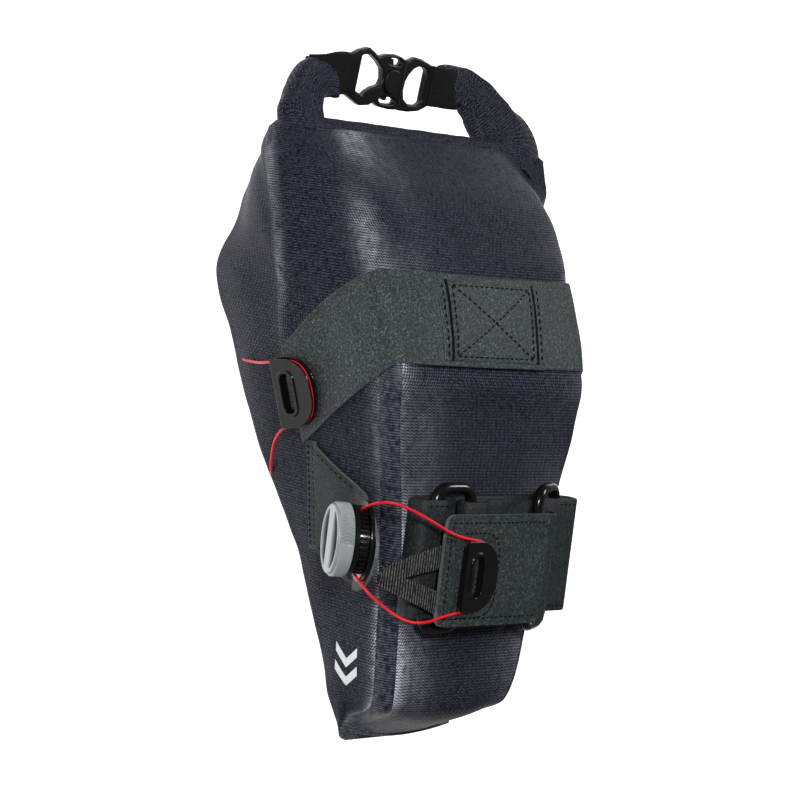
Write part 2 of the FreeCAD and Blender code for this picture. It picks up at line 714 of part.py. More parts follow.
def rail_strap_parts():
    """The strap, rings, flap, guide and pull loop that hold the saddle's rails."""
    base_profile = [(-21.0, 3.0), (-25.5, 3.0), (-31.0, 10.9), (-44.3, 10.9), (-44.3, 1.25),
                    (54.2, 1.25), (54.2, 9.7), (39.5, 9.7), (33.5, 3.1), (29.5, 3.1)]
    inner_profile = [(8.0, 5.4), (0.0, 5.4), (-7.0, 10.9), (-17.3, 10.9), (-17.3, 3.3),
                     (10.0, 3.4), (BEND_CENTRE[0] - 0.6, FLAP_Z - 2 * BEND_RADIUS)]
    y, z = BEND_CENTRE
    outer = Part.makeCylinder(BEND_RADIUS + 0.8, FLAP_X[1] - FLAP_X[0], V(FLAP_X[0], y, z), V(1, 0, 0))
    inner = Part.makeCylinder(BEND_RADIUS - 0.8, FLAP_X[1] - FLAP_X[0], V(FLAP_X[0], y, z), V(1, 0, 0))
    half = box((FLAP_X[0] - 1, FLAP_X[1] + 1), (y - 0.4, y + 20), (z - 20, z + 20))
    guide = lace_guide(FLAP_GUIDE_FOOT, 0.6)
    guide.translate(FLAP_GUIDE)
    return {
        "rail_base_strap": strap(base_profile, 4.0, LAMINATE, *BASE_X),
        "rail_strap_inner": strap(inner_profile, 3.6, LAMINATE, *INNER_X),
        "rail_strap_bend": outer.cut(inner).common(half),
        "rail_strap_flap": flap(),
        "flap_guide": guide,
        "pull_loop": pull_loop(),
        "ring_near": ring_between(NEAR_BARS),
        "ring_far": ring_between(FAR_BARS),
    }


# ---------------------------------------------------------------- laces
def side_lace():
    """The loose loop from the side dial, round the flap's guide and back to the dial."""
    frame = (SIDE_DIAL_ORIGIN, SIDE_DIAL_X, SIDE_DIAL_AXIS)
    leave = moved_point(V(-LACE_EXIT.x, LACE_EXIT.y, LACE_EXIT.z), *frame)
    back = moved_point(LACE_EXIT, *frame)
    groove = [FLAP_GUIDE + p for p in groove_corners(FLAP_GUIDE_FOOT + GUIDE_GROOVE / 2)]
    route = [leave,
             V(-20.2, -67.0, 2.4),
             V(-22.4, -63.0, 9.8),
             V(-20.0, -55.5, 14.6),
             V(-15.5, -46.0, 18.4),
             V(-8.8, -31.5, 20.1),
             groove[1],
             groove[2],
             V(23.6, -31.5, 19.8),
             V(27.5, -44.0, 18.4),
             V(26.8, -50.5, 12.0),
             V(21.8, -56.5, 6.0),
             V(16.2, -63.4, 1.8),
             back]
    return lace("side_lace", route)


def compression_lace():
    """The tight loop from the under dial, through both wing guides and across the bottom."""
    frame = (UNDER_DIAL_ORIGIN, UNDER_DIAL_X, UNDER_DIAL_AXIS)
    leave = moved_point(LACE_EXIT, *frame)
    enter, first, second, out = groove_corners(GUIDE_LAYER + GUIDE_GROOVE / 2)
    wing = [moved_point(p, GUIDE_ORIGIN, GUIDE_X, GUIDE_Z) for p in (out, second, first, enter)]
    near = [leave, V(-12.0, -40.0, -81.6), V(-19.5, -48.6, -80.5)] + wing
    near += [V(-66.2, -58.6, -86.0), V(-66.0, -52.0, -108.5)]
    far = [V(p.x, -p.y, p.z) for p in reversed(near)]
    return lace("compression_lace", near + far)


# ---------------------------------------------------------------- print and export
def reflective_print():
    """Two reflective chevrons on the near side panel."""
    chevrons = []
    for shift in (0.0, 8.0):
        for rise in (-1, 1):
            rows = []
            for x, z in ((46.0, -26.5 + 7.0 * rise), (52.0, -26.5)):
                pair = [V(x + shift, near_y(x + shift, z) - GAP, z),
                        V(x + shift + 4.0, near_y(x + shift + 4.0, z) - GAP, z)]
                rows.append(pair)
            chevrons.append(ribbon(rows, 0.25, [V(0, -1, 0)] * 2))
    return chevrons[0].multiFuse(chevrons[1:])


def main():
    """Every node of the bag, written to parts/."""
    near_tape = seam_tape()
    parts = {}
    for group in (shell_parts, roll_parts, buckle_parts, band_parts, side_dial_parts,
                  under_dial_parts, rail_strap_parts):
        parts.update(group())
    parts["seam_tape_near"] = near_tape
    parts["seam_tape_far"] = mirrored(near_tape)
    parts["side_lace"] = side_lace()
    parts["side_dial_base"] = parts["side_dial_base"].cut(parts["side_lace"])
    parts["compression_lace"] = compression_lace()
    parts["reflective_print"] = reflective_print()
    os.makedirs("parts", exist_ok=True)
    for name, shape in parts.items():
        solids = len(shape.Solids)
        if not shape.isValid() or solids == 0:
            print("check", name, "valid", shape.isValid(), "solids", solids)
        shape.exportStep("parts/" + name + ".step")
    print(len(parts), "nodes")


main()
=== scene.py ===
"""Looks of the roll-top saddle bag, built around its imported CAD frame.

Geometry is worked out in millimetres and made in metres. Frame: +X towards the nose,
-Y the near side with the side dial, +Z up out of the top panel.
"""
import bpy
import math
from bisect import bisect_right
from mathutils import Matrix, Vector, noise


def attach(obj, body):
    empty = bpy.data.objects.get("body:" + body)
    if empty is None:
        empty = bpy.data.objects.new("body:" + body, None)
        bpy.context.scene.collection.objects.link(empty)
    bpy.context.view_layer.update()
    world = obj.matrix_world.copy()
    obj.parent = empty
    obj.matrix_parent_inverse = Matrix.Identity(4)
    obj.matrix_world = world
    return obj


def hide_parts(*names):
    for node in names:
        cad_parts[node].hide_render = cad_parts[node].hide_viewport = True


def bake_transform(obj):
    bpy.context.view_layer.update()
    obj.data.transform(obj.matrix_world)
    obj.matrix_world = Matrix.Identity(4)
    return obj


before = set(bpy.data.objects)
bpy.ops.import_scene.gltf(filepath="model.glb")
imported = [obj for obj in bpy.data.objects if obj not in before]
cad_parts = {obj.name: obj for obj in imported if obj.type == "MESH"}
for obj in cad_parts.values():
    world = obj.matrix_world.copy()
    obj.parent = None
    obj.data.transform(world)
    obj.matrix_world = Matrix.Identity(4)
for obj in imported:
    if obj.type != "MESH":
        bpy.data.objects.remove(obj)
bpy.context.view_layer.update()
SCENE = bpy.context.scene
MM = 0.001
X_AXIS, Y_AXIS, Z_AXIS = Vector((1, 0, 0)), Vector((0, 1, 0)), Vector((0, 0, 1))


def V(*values):
    return Vector(values)


def linked(name, data):
    """A new object in the scene."""
    made = bpy.data.objects.new(name, data)
    SCENE.collection.objects.link(made)
    return made


# ---- camera and light
def make_camera():
    """The camera, at the photograph's viewing angle."""
    right = V(-0.1214, 0.7036, 0.7002).normalized()
    back = V(-0.0906, -0.7103, 0.6980).normalized()
    up = back.cross(right).normalized()
    right = up.cross(back)
    data = bpy.data.cameras.new("camera")
    data.sensor_width = 36.0
    data.lens = 115.6
    data.clip_start, data.clip_end = 0.01, 50.0
    camera = linked("camera", data)
    matrix = Matrix((right, up, back)).transposed().to_4x4()
    matrix.translation = V(-0.1586, -0.8045, 0.7366)
    camera.matrix_world = matrix
    SCENE.camera = camera


def area_lamp(name, place, size, power, aim=None):
    """A round lamp that looks at a point, or straight down."""
    data = bpy.data.lights.new(name, "AREA")
    data.shape = "DISK"
    data.size = size
    data.energy = power
    lamp = linked(name, data)
    lamp.location = place
    if aim is not None:
        lamp.rotation_euler = (aim - place).to_track_quat("-Z", "Y").to_euler()


def make_light():
    """Soft studio light from above, and a pale floor below the hanging bag."""
    world = bpy.data.worlds.new("studio")
    SCENE.world = world
    world.use_nodes = True
    background = world.node_tree.nodes["Background"]
    background.inputs["Color"].default_value = (1.0, 1.0, 1.0, 1.0)
    background.inputs["Strength"].default_value = 0.15
    area_lamp("floor_wash", V(0.0, 0.0, -0.42), 4.0, 46.0)
    bag_middle = V(-0.05, 0, -0.05)
    area_lamp("key", V(-0.45, -0.75, 0.95), 0.22, 17.0, bag_middle)
    area_lamp("rim", V(-0.7, 1.0, 0.7), 0.45, 9.0, bag_middle)
    area_lamp("fill", V(0.9, -0.9, 0.5), 0.9, 2.0, bag_middle)
    SCENE.view_settings.view_transform = "Standard"
    half, height = 6.0, -0.55
    mesh = bpy.data.meshes.new("floor")
    corners = [(x * half, y * half, height) for x, y in ((-1, -1), (1, -1), (1, 1), (-1, 1))]
    mesh.from_pydata(corners, [], [(0, 1, 2, 3)])
    floor = linked("floor", mesh)
    paint = bpy.data.materials.new("floor_paint")
    paint.use_nodes = True
    shader = paint.node_tree.nodes["Principled BSDF"]
    shader.inputs["Base Color"].default_value = (0.93, 0.93, 0.93, 1)
    shader.inputs["Roughness"].default_value = 0.9
    mesh.materials.append(paint)


# ---- node materials
class Paint:
    """A node material with a Principled shader, and short calls for its pattern nodes."""

    def __init__(self, name, roughness=0.5, **constants):
        self.material = bpy.data.materials.new(name)
        self.material.use_nodes = True
        self.tree = self.material.node_tree
        self.shader = self.tree.nodes["Principled BSDF"]
        self.shader.inputs["Roughness"].default_value = roughness
        for key, value in constants.items():
            self.shader.inputs[key.replace("_", " ")].default_value = value

    def node(self, kind, **settings):
        made = self.tree.nodes.new(kind)
        for key, value in settings.items():
            setattr(made, key, value)
        return made

    def link(self, source, target):
        self.tree.links.new(source, target)

    def put(self, socket, value):
        """A value or another node's output into a socket."""
        if isinstance(value, bpy.types.NodeSocket):
            self.link(value, socket)
        else:
            socket.default_value = value

    def math(self, operation, a, b=0.0, clamp=False):
        made = self.node("ShaderNodeMath", operation=operation, use_clamp=clamp)
        self.put(made.inputs[0], a)
        self.put(made.inputs[1], b)
        return made.outputs[0]

    def times(self, a, b, clamp=False):
        return self.math("MULTIPLY", a, b, clamp)

    def wave(self, value, pitch):
        """A sine along a coordinate, repeated at a pitch in metres."""
        return self.math("SINE", self.times(value, 2 * math.pi / pitch))

    def uv(self):
        """The surface's own coordinates, in metres, as separate outputs."""
        source = self.node("ShaderNodeUVMap", uv_map="UVMap")
        split = self.node("ShaderNodeSeparateXYZ")
        self.link(source.outputs[0], split.inputs[0])
        return split.outputs[0], split.outputs[1]

    def place(self):
        return self.node("ShaderNodeTexCoord").outputs["Object"]

    def noise(self, scale, detail=3.0, roughness=0.5, vector=None):
        made = self.node("ShaderNodeTexNoise")
        self.link(vector or self.place(), made.inputs["Vector"])
        made.inputs["Scale"].default_value = scale
        made.inputs["Detail"].default_value = detail
        made.inputs["Roughness"].default_value = roughness
        return made.outputs["Fac"]

    def steps(self, value, low, high):
        """A value taken from its range low..high to 0..1."""
        made = self.node("ShaderNodeMapRange")
        self.put(made.inputs["Value"], value)
        made.inputs["From Min"].default_value = low
        made.inputs["From Max"].default_value = high
        return made.outputs["Result"]

    def blend(self, share, first, second):
        """A colour between two, by a share."""
        made = self.node("ShaderNodeMix", data_type="RGBA")
        self.put(made.inputs[0], share)
        for socket, colour in ((made.inputs[6], first), (made.inputs[7], second)):
            is_output = isinstance(colour, bpy.types.NodeSocket)
            self.put(socket, colour if is_output else (*colour, 1.0))
        return made.outputs[2]

    def colour(self, value):
        self.put(self.shader.inputs["Base Color"], value)

    def rough(self, value, low, high):
        made = self.node("ShaderNodeMapRange")
        self.put(made.inputs["Value"], value)
        made.inputs["To Min"].default_value = low
        made.inputs["To Max"].default_value = high
        self.link(made.outputs["Result"], self.shader.inputs["Roughness"])

    def bump(self, height, distance, strength=1.0, before=None):
        made = self.node("ShaderNodeBump")
        self.put(made.inputs["Height"], height)
        made.inputs["Distance"].default_value = distance
        made.inputs["Strength"].default_value = strength
        if before is not None:
            self.link(before, made.inputs["Normal"])
        self.link(made.outputs[0], self.shader.inputs["Normal"])
        return made.outputs[0]

    def weave(self, pitch):
        """Height of a plain weave: threads over and under each other, from 0 to 1."""
        u, v = self.uv()
        u = self.math("DIVIDE", u, pitch)
        v = self.math("DIVIDE", v, pitch)
        odd = self.math("ADD", self.math("FLOOR", u), self.math("FLOOR", v))
        odd = self.math("PINGPONG", odd, 1.0)
        across_u = self.math("ABSOLUTE", self.math("SINE", self.times(u, math.pi)))
        across_v = self.math("ABSOLUTE", self.math("SINE", self.times(v, math.pi)))
        first = self.times(across_u, odd)
        second = self.times(across_v, self.math("SUBTRACT", 1.0, odd))
        return self.math("ADD", first, second)


def fabric_paint():
    """Navy-charcoal coated woven fabric. Its high threads are painted pale, partly dust and partly
    painted highlight, and its edges and creases carry a painted highlight with some scuffing.
    """
    paint = Paint("coated_fabric", 0.5, Specular_IOR_Level=0.04)
    weave = paint.weave(0.00130)
    # The shell's painted highlight along its edges and creases, with some rubbing, from 0 to 1.
    worn_and_lit = paint.node("ShaderNodeAttribute", attribute_name="highlight_and_wear").outputs["Fac"]
    cloud = paint.noise(22.0, 4.0, 0.6)
    speck = paint.noise(900.0, 2.0, 0.6)
    dust = paint.steps(paint.noise(60.0, 6.0, 0.7), 0.5, 0.8)
    base = paint.blend(cloud, (0.0012, 0.0014, 0.0042), (0.0030, 0.0033, 0.0085))
    # Pale tops of the high threads: partly dust, partly a painted highlight standing in for light
    # on the weave.
    threads = paint.times(paint.math("POWER", weave, 3.0), paint.steps(speck, 0.3, 0.7))
    base = paint.blend(paint.times(threads, 0.8), base, (0.098, 0.103, 0.142))
    # Where that share is high the raised threads are painted near white: painted highlight with
    # some rubbing.
    lit_and_rubbed = paint.times(worn_and_lit, paint.steps(paint.noise(240.0, 4.0, 0.7), 0.25, 0.7))
    lit_and_rubbed = paint.times(lit_and_rubbed, paint.math("ADD", paint.math("POWER", weave, 3.0), 0.08))
    base = paint.blend(paint.times(lit_and_rubbed, 1.9, clamp=True), base, (0.55, 0.57, 0.64))
    base = paint.blend(paint.times(dust, 0.10), base, (0.09, 0.09, 0.105))
    paint.colour(base)
    paint.rough(cloud, 0.36, 0.52)
    first = paint.bump(weave, 0.00022, 0.85)
    paint.bump(paint.noise(160.0, 3.0), 0.0006, 0.35, first)
    return paint.material


def tape_paint():
    """Welded seam tape: the bag's fabric pressed smooth, with fine ribs across it."""
    paint = Paint("seam_tape", 0.42, Specular_IOR_Level=0.16)
    ribs = paint.steps(paint.wave(paint.uv()[0], 0.0011), -1.0, 1.0)
    speck = paint.steps(paint.noise(500.0, 3.0), 0.35, 0.7)
    share = paint.times(paint.times(ribs, speck), 0.8)
    paint.colour(paint.blend(share, (0.006, 0.0065, 0.014), (0.13, 0.135, 0.175)))
    paint.bump(ribs, 0.00012, 0.4)
    return paint.material


def laminate_paint(name, worn_and_lit):
    """Dark grey-green suede-like laminate with fine pale speckles and painted glints; the second
    argument sets how much of both it shows, high for the lit copy and low for the darker copy that
    paints shade.
    """
    paint = Paint(name, 0.55, Specular_IOR_Level=0.16)
    speck = paint.noise(1100.0, 3.0, 0.75)
    cloud = paint.noise(45.0, 4.0, 0.6)
    base = paint.blend(cloud, (0.0040, 0.0055, 0.0058), (0.0110, 0.0145, 0.0150))
    grain = paint.times(paint.steps(speck, 0.36, 0.66), worn_and_lit)
    base = paint.blend(grain, base, (0.062, 0.074, 0.077))
    glint = paint.steps(speck, 0.56, 0.74)
    base = paint.blend(paint.times(glint, 0.45 * worn_and_lit), base, (0.34, 0.38, 0.38))
    paint.colour(base)
    paint.rough(cloud, 0.42, 0.6)
    paint.bump(speck, 0.00035, 0.8)
    return paint.material


def edge_paint():
    """The laminate's paler cut edge."""
    paint = Paint("laminate_edge", 0.6)
    speck = paint.noise(700.0, 3.0, 0.7)
    paint.colour(paint.blend(speck, (0.03, 0.034, 0.033), (0.12, 0.13, 0.125)))
    paint.bump(speck, 0.0002, 0.5)
    return paint.material


def webbing_paint(name, dark, light, rib):
    """Woven webbing: ribs across its length, with a fine twill on them."""
    paint = Paint(name, 0.7, Specular_IOR_Level=0.12)
    u, v = paint.uv()
    ribs = paint.steps(paint.wave(u, rib), -1.0, 1.0)
    fine = paint.wave(paint.math("ADD", v, u), 0.0007)
    height = paint.math("ADD", ribs, paint.times(fine, 0.12))
    speck = paint.noise(700.0, 2.0)
    share = paint.times(paint.math("POWER", ribs, 2.0), paint.steps(speck, 0.25, 0.7))
    paint.colour(paint.blend(share, dark, light))
    paint.bump(height, 0.0004, 0.9)
    return paint.material


def plastic_paint(name, low, high, roughness, coat=0.0):
    """Moulded plastic with a faint unevenness of colour and polish."""
    paint = Paint(name, roughness, Specular_IOR_Level=0.2, Coat_Weight=coat, Coat_Roughness=0.12)
    cloud = paint.noise(120.0, 4.0, 0.6)
    paint.colour(paint.blend(cloud, low, high))
    paint.rough(cloud, roughness * 0.75, roughness * 1.3)
    paint.bump(paint.noise(1100.0, 2.0), 0.00006, 0.35)
    return paint.material


def lace_paint():
    """Bright red coated lace with a fine braid."""
    paint = Paint("red_lace", 0.45, Specular_IOR_Level=0.3)
    speck = paint.noise(1800.0, 2.0)
    paint.colour(paint.blend(speck, (0.40, 0.0005, 0.006), (0.66, 0.002, 0.014)))
    paint.bump(speck, 0.0001, 0.6)
    return paint.material


def steel_paint():
    """Turned steel of the dial's stem."""
    paint = Paint("turned_steel", 0.3, Metallic=1.0)
    paint.colour(paint.blend(paint.noise(400.0), (0.45, 0.45, 0.46), (0.62, 0.62, 0.63)))
    return paint.material


def print_paint():
    """Grey reflective print."""
    paint = Paint("reflective_print", 0.4, Specular_IOR_Level=0.6)
    speck = paint.noise(1500.0, 3.0, 0.7)
    paint.colour(paint.blend(speck, (0.42, 0.43, 0.45), (0.66, 0.67, 0.68)))
    paint.bump(speck, 0.0001, 0.5)
    return paint.material


FABRIC = fabric_paint()
TAPE = tape_paint()
# Copies of one laminate: the darker one is painted shade, for the tab, welt, under patch and rail
# strap, which lie in shadow or turn from the lamps.
LAMINATE = laminate_paint("lit_worn_laminate", 0.72)
SHADED_LAMINATE = laminate_paint("shaded_laminate", 0.24)
FLAP_LAMINATE = laminate_paint("flap_laminate", 0.5)
EDGE = edge_paint()
WEBBING = webbing_paint("black_webbing", (0.0015, 0.0015, 0.002), (0.008, 0.008, 0.009), 0.0011)
LOOP_WEBBING = webbing_paint("ribbed_loop", (0.002, 0.002, 0.002), (0.16, 0.165, 0.16), 0.00135)
THREAD = webbing_paint("black_thread", (0.0006, 0.0006, 0.0006), (0.003, 0.003, 0.003), 0.0006)
GLOSS = plastic_paint("gloss_black", (0.002, 0.002, 0.0025), (0.005, 0.005, 0.0055), 0.2, 0.12)
SATIN = plastic_paint("satin_black", (0.002, 0.002, 0.002), (0.005, 0.005, 0.005), 0.38)
SILVER = plastic_paint("silver_plastic", (0.20, 0.215, 0.22), (0.27, 0.29, 0.295), 0.34, 0.1)
INNER = plastic_paint("inner_plastic", (0.03, 0.03, 0.03), (0.06, 0.06, 0.06), 0.5)
LACE = lace_paint()
STEEL = steel_paint()
PRINT = print_paint()


# ---- mesh helpers
LATHE_SEGMENTS = 96


def object_from(name, mesh, material, smooth_angle=40.0):
    """An object in the scene with one material and smooth shading up to an angle."""
    made = linked(name, mesh)
    if material is not None:
        mesh.materials.clear()
        mesh.materials.append(material)
    mesh.shade_smooth()
    mesh.set_sharp_from_angle(angle=math.radians(smooth_angle))
    return made


def bare_solid(name, verts, faces, material, smooth_angle):
    """An object from vertices in metres and faces, with an empty UV map."""
    mesh = bpy.data.meshes.new(name)
    mesh.from_pydata(verts, [], faces)
    mesh.uv_layers.new(name="UVMap")
    return object_from(name, mesh, material, smooth_angle)


def smooth(value, low, high):
    """0 below low, 1 above high, and an even curve between."""
    t = min(1.0, max(0.0, (value - low) / (high - low)))
    return t * t * (3 - 2 * t)


def steps(low, high, count):
    """Evenly spaced numbers from low to high, both included."""
    return [low + (high - low) * i / count for i in range(count + 1)]


def mix(a, b, share):
    return a + (b - a) * share


def stand_in(piece, slot, body, *nodes):
    """A piece shown in place of CAD nodes, with the body that it rides on; its slot is not used."""
    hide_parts(*nodes)
    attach(piece, body)


def lengths_along(points):
    total, result = 0.0, [0.0]
    for a, b in zip(points, points[1:]):
        total += (b - a).length
        result.append(total)
    return result


def grid(name, rows, material, closed=False, caps=False):
    """A mesh over rows of points in millimetres, its UVs in metres along and across the rows."""
    count = len(rows[0])
    verts = [p * MM for row in rows for p in row]
    faces, uvs = [], []
    along = lengths_along([row[count // 2] for row in rows])
    across = [lengths_along(list(row) + ([row[0]] if closed else [])) for row in rows]
    last = count if closed else count - 1
    for i in range(len(rows) - 1):
        for j in range(last):
            k = (j + 1) % count
            faces.append((i * count + j, i * count + k, (i + 1) * count + k, (i + 1) * count + j))
            uvs += [(along[i], across[i][j]), (along[i], across[i][j + 1]),
                    (along[i + 1], across[i + 1][j + 1]), (along[i + 1], across[i + 1][j])]
    if caps:
        for start, order in ((0, -1), ((len(rows) - 1) * count, 1)):
            face = [start + j for j in range(count)][::order]
            faces.append(face)
            uvs += [(verts[j].y / MM, verts[j].z / MM) for j in face]
    mesh = bpy.data.meshes.new(name)
    mesh.from_pydata(verts, [], faces)
    layer = mesh.uv_layers.new(name="UVMap")
    for item, (u, v) in zip(layer.data, uvs):
        item.uv = (u * MM, v * MM)
    mesh.update()
    return object_from(name, mesh, material)


def settle(piece):
    """A piece's modifiers made part of its mesh."""
    bpy.context.view_layer.update()
    evaluated = piece.evaluated_get(bpy.context.evaluated_depsgraph_get())
    mesh = bpy.data.meshes.new_from_object(evaluated)
    piece.modifiers.clear()
    piece.data = mesh
    return piece


def thicken(piece, thickness, rim_material, rounding, up=1.0):
    """A sheet given thickness in millimetres, with rounded rims."""
    if rim_material is not None:
        piece.data.materials.append(rim_material)
    solid = piece.modifiers.new("solid", "SOLIDIFY")
    solid.thickness = thickness * MM
    solid.offset = up
    solid.use_quality_normals = True
    if rim_material is not None:
        solid.material_offset_rim = 1
    bevel = piece.modifiers.new("bevel", "BEVEL")
    bevel.width = rounding * MM
    bevel.segments = 2
    bevel.limit_method = "ANGLE"
    bevel.angle_limit = math.radians(55)
    bevel.harden_normals = False
    finer = piece.modifiers.new("smooth", "SUBSURF")
    finer.levels = finer.render_levels = 1
    settle(piece)
    piece.data.shade_smooth()
    return piece


def joined(name, pieces):
    """Several objects made into one, under a name."""
    bpy.ops.object.select_all(action="DESELECT")
    for piece in pieces:
        piece.select_set(True)
    bpy.context.view_layer.objects.active = pieces[0]
    bpy.ops.object.join()
    pieces[0].name = name
    return pieces[0]


def rounded(points, radius, parts, closed=False):
    """A path through points with its corners rounded, straight runs left as they are."""
    result = []
    count = len(points)
    for i, corner in enumerate(points):
        if not closed and i in (0, count - 1):
            result.append(corner.copy())
            continue
        into = corner - points[i - 1]
        out = points[(i + 1) % count] - corner
        turn = into.angle(out)
        reach = min(radius * math.tan(turn / 2), 0.47 * into.length, 0.47 * out.length)
        a = corner - into.normalized() * reach
        b = corner + out.normalized() * reach
        for step in range(parts + 1):
            t = step / parts
            result.append(a * (1 - t) ** 2 + corner * 2 * t * (1 - t) + b * t ** 2)
    return result


def evenly(points, spacing):
    """A path's points moved to equal spacing along it."""
    lengths = lengths_along(points)
    count = max(2, round(lengths[-1] / spacing) + 1)
    result, i = [], 0
    for step in range(count):
        want = lengths[-1] * step / (count - 1)
        while i < len(points) - 2 and lengths[i + 1] < want:
            i += 1
        span = lengths[i + 1] - lengths[i]
        share = 0.0 if span < 1e-9 else (want - lengths[i]) / span
        result.append(points[i].lerp(points[i + 1], min(1.0, share)))
    return result


def tangents(points, closed):
    result = []
    count = len(points)
    for i in range(count):
        if closed:
            step = points[(i + 1) % count] - points[i - 1]
        else:
            step = points[min(i + 1, count - 1)] - points[max(i - 1, 0)]
        result.append(step.normalized())
    return result


def sweep(name, path, profile, side, material, closed=False):
    """A closed profile of (across, up) points carried along a path.

    The profile is a list, or a function of the share of the path; side is one vector, or one each.
    """
    rows = []
    for i, (point, along) in enumerate(zip(path, tangents(path, closed))):
        across = side[i] if isinstance(side, list) else side
        up = along.cross(across).normalized()
        across = up.cross(along).normalized()
        shape = profile(i / (len(path) - 1)) if callable(profile) else profile
        rows.append([point + across * a + up * b for a, b in shape])
    if closed:
        rows.append([p.copy() for p in rows[0]])
    return grid(name, rows, material, closed=True, caps=not closed)


def strap_profile(low, high, thickness, count=12):
    """A flat strap's section: two faces from low to high with rounded edges."""
    radius = thickness / 2
    result = []
    for edge, start in ((high - radius, -90), (low + radius, 90)):
        for step in range(5):
            angle = math.radians(start + 180 * step / 4)
            result.append((edge + radius * math.cos(angle), radius * math.sin(angle)))
        direction = -1 if start == -90 else 1
        for step in range(1, count):
            across = edge + direction * (high - low - 2 * radius) * step / count
            result.append((across, radius if direction < 0 else -radius))
    return result


def circle(radius, count):
    angles = [2 * math.pi * i / count for i in range(count)]
    return [(radius * math.cos(angle), radius * math.sin(angle)) for angle in angles]


def lathe(name, profile, material):
    """A profile of (radius, height) points turned about Z, in millimetres."""
    rows = [[V(x, y, h) for x, y in circle(r, LATHE_SEGMENTS)] for r, h in profile]
    return grid(name, rows, material, closed=True)


def plate(name, outlines, low, high, bevel, material):
    """A flat plate between two heights from closed outlines in millimetres, holes among them."""
    curve = bpy.data.curves.new(name, "CURVE")
    curve.dimensions = "2D"
    curve.fill_mode = "BOTH"
    curve.extrude = ((high - low) / 2 - bevel) * MM
    curve.bevel_depth = bevel * MM
    curve.bevel_resolution = 3
    curve.offset = -bevel * MM
    for outline in outlines:
        spline = curve.splines.new("POLY")
        spline.points.add(len(outline) - 1)
        for point, (x, y) in zip(spline.points, outline):
            point.co = (x * MM, y * MM, 0, 1)
        spline.use_cyclic_u = True
    maker = linked(name + "_maker", curve)
    bpy.context.view_layer.update()
    evaluated = maker.evaluated_get(bpy.context.evaluated_depsgraph_get())
    mesh = bpy.data.meshes.new_from_object(evaluated)
    bpy.data.objects.remove(maker)
    mesh.transform(Matrix.Translation((0, 0, (high + low) / 2 * MM)))
    return object_from(name, mesh, material, 30.0)


def place_frame(origin, x_axis, z_axis):
    """The matrix from a part's own frame in millimetres to the bag's, as a 4x4 in metres."""
    x, z = x_axis.normalized(), z_axis.normalized()
    y = z.cross(x)
    matrix = Matrix((x, y, z)).transposed().to_4x4()
    matrix.translation = origin * MM
    return matrix


def moved(piece, matrix):
    piece.data.transform(matrix)
    return piece


def rounded_outline(points, radius, parts=5):
    """A flat outline of (x, y) points with rounded corners."""
    path = rounded([V(x, y, 0) for x, y in points], radius, parts, closed=True)
    return [(p.x, p.y) for p in path]


def stitches(name, lines, pitch=3.0, length=2.1, radius=0.33):
    """Separate thread stitches along lines of (point, normal), each dipping in at its ends."""
    verts, faces = [], []
    sides = 6
    # Place along the stitch, thickness and rise of each ring of the thread.
    rings = ((-0.5, 0.30, -0.30), (-0.3, 0.9, 0.1), (0.0, 1.0, 0.25), (0.3, 0.9, 0.1),
             (0.5, 0.30, -0.30))
    for line in lines:
        points = [p for p, _ in line]
        lengths = lengths_along(points)
        count = max(1, int(lengths[-1] / pitch))
        i = 0
        for number in range(count):
            want = lengths[-1] * (number + 0.5) / count
            while i < len(points) - 2 and lengths[i + 1] < want:
                i += 1
            share = (want - lengths[i]) / max(1e-6, lengths[i + 1] - lengths[i])
            centre = points[i].lerp(points[i + 1], share)
            along = (points[i + 1] - points[i]).normalized()
            up = line[i][1].normalized()
            side = along.cross(up).normalized()
            base = len(verts)
            for s, size, lift in rings:
                middle = centre + along * (s * length) + up * (lift * radius)
                for k in range(sides):
                    angle = 2 * math.pi * k / sides
                    offset = side * math.cos(angle) + up * math.sin(angle)
                    verts.append((middle + offset * (radius * size)) * MM)
            for ring in range(len(rings) - 1):
                for k in range(sides):
                    a = base + ring * sides + k
                    b = base + ring * sides + (k + 1) % sides
                    faces.append((a, b, b + sides, a + sides))
            faces.append([base + k for k in range(sides)][::-1])
            faces.append([base + (len(rings) - 1) * sides + k for k in range(sides)])
    return bare_solid(name, verts, faces, THREAD, 80.0)


make_camera()
make_light()


# ---- laces
SIDE_LACE = [
    (-16.3, -64.04, -5.38), (-20.2, -67.0, 2.4), (-22.4, -63.0, 9.8), (-20.0, -55.5, 14.6),
    (-15.5, -46.0, 18.4), (-8.8, -31.5, 20.1), (-6.05, -7.2, 19.6), (21.55, -7.2, 19.6),
    (23.6, -31.5, 19.8), (27.5, -44.0, 18.4), (26.8, -50.5, 12.0), (21.8, -56.5, 6.0),
    (16.2, -63.4, 1.8), (10.3, -64.04, -5.38),
]
HALF_COMPRESSION_LACE = [
    (3.32, -13.3, -76.82), (-12.0, -40.0, -81.6), (-19.5, -48.6, -80.5), (-42.06, -62.06, -64.23),
    (-46.57, -59.31, -42.57), (-72.90, -66.21, -47.18), (-68.39, -68.96, -68.84),
    (-66.2, -58.6, -86.0), (-66.0, -52.0, -108.5),
]
LACE_DIAMETER = 1.3


def lace(name, route, node):
    """A red lace on a smooth spline through its route."""
    curve = bpy.data.curves.new(name, "CURVE")
    curve.dimensions = "3D"
    curve.bevel_depth = LACE_DIAMETER / 2 * MM
    curve.bevel_resolution = 5
    curve.use_fill_caps = True
    spline = curve.splines.new("NURBS")
    spline.points.add(len(route) - 1)
    for point, place in zip(spline.points, route):
        point.co = (place[0] * MM, place[1] * MM, place[2] * MM, 1.0)
    spline.order_u = 3
    spline.use_endpoint_u = True
    spline.resolution_u = 10
    curve.materials.append(LACE)
    made = linked(name, curve)
    stand_in(made, "lace", "root", node)


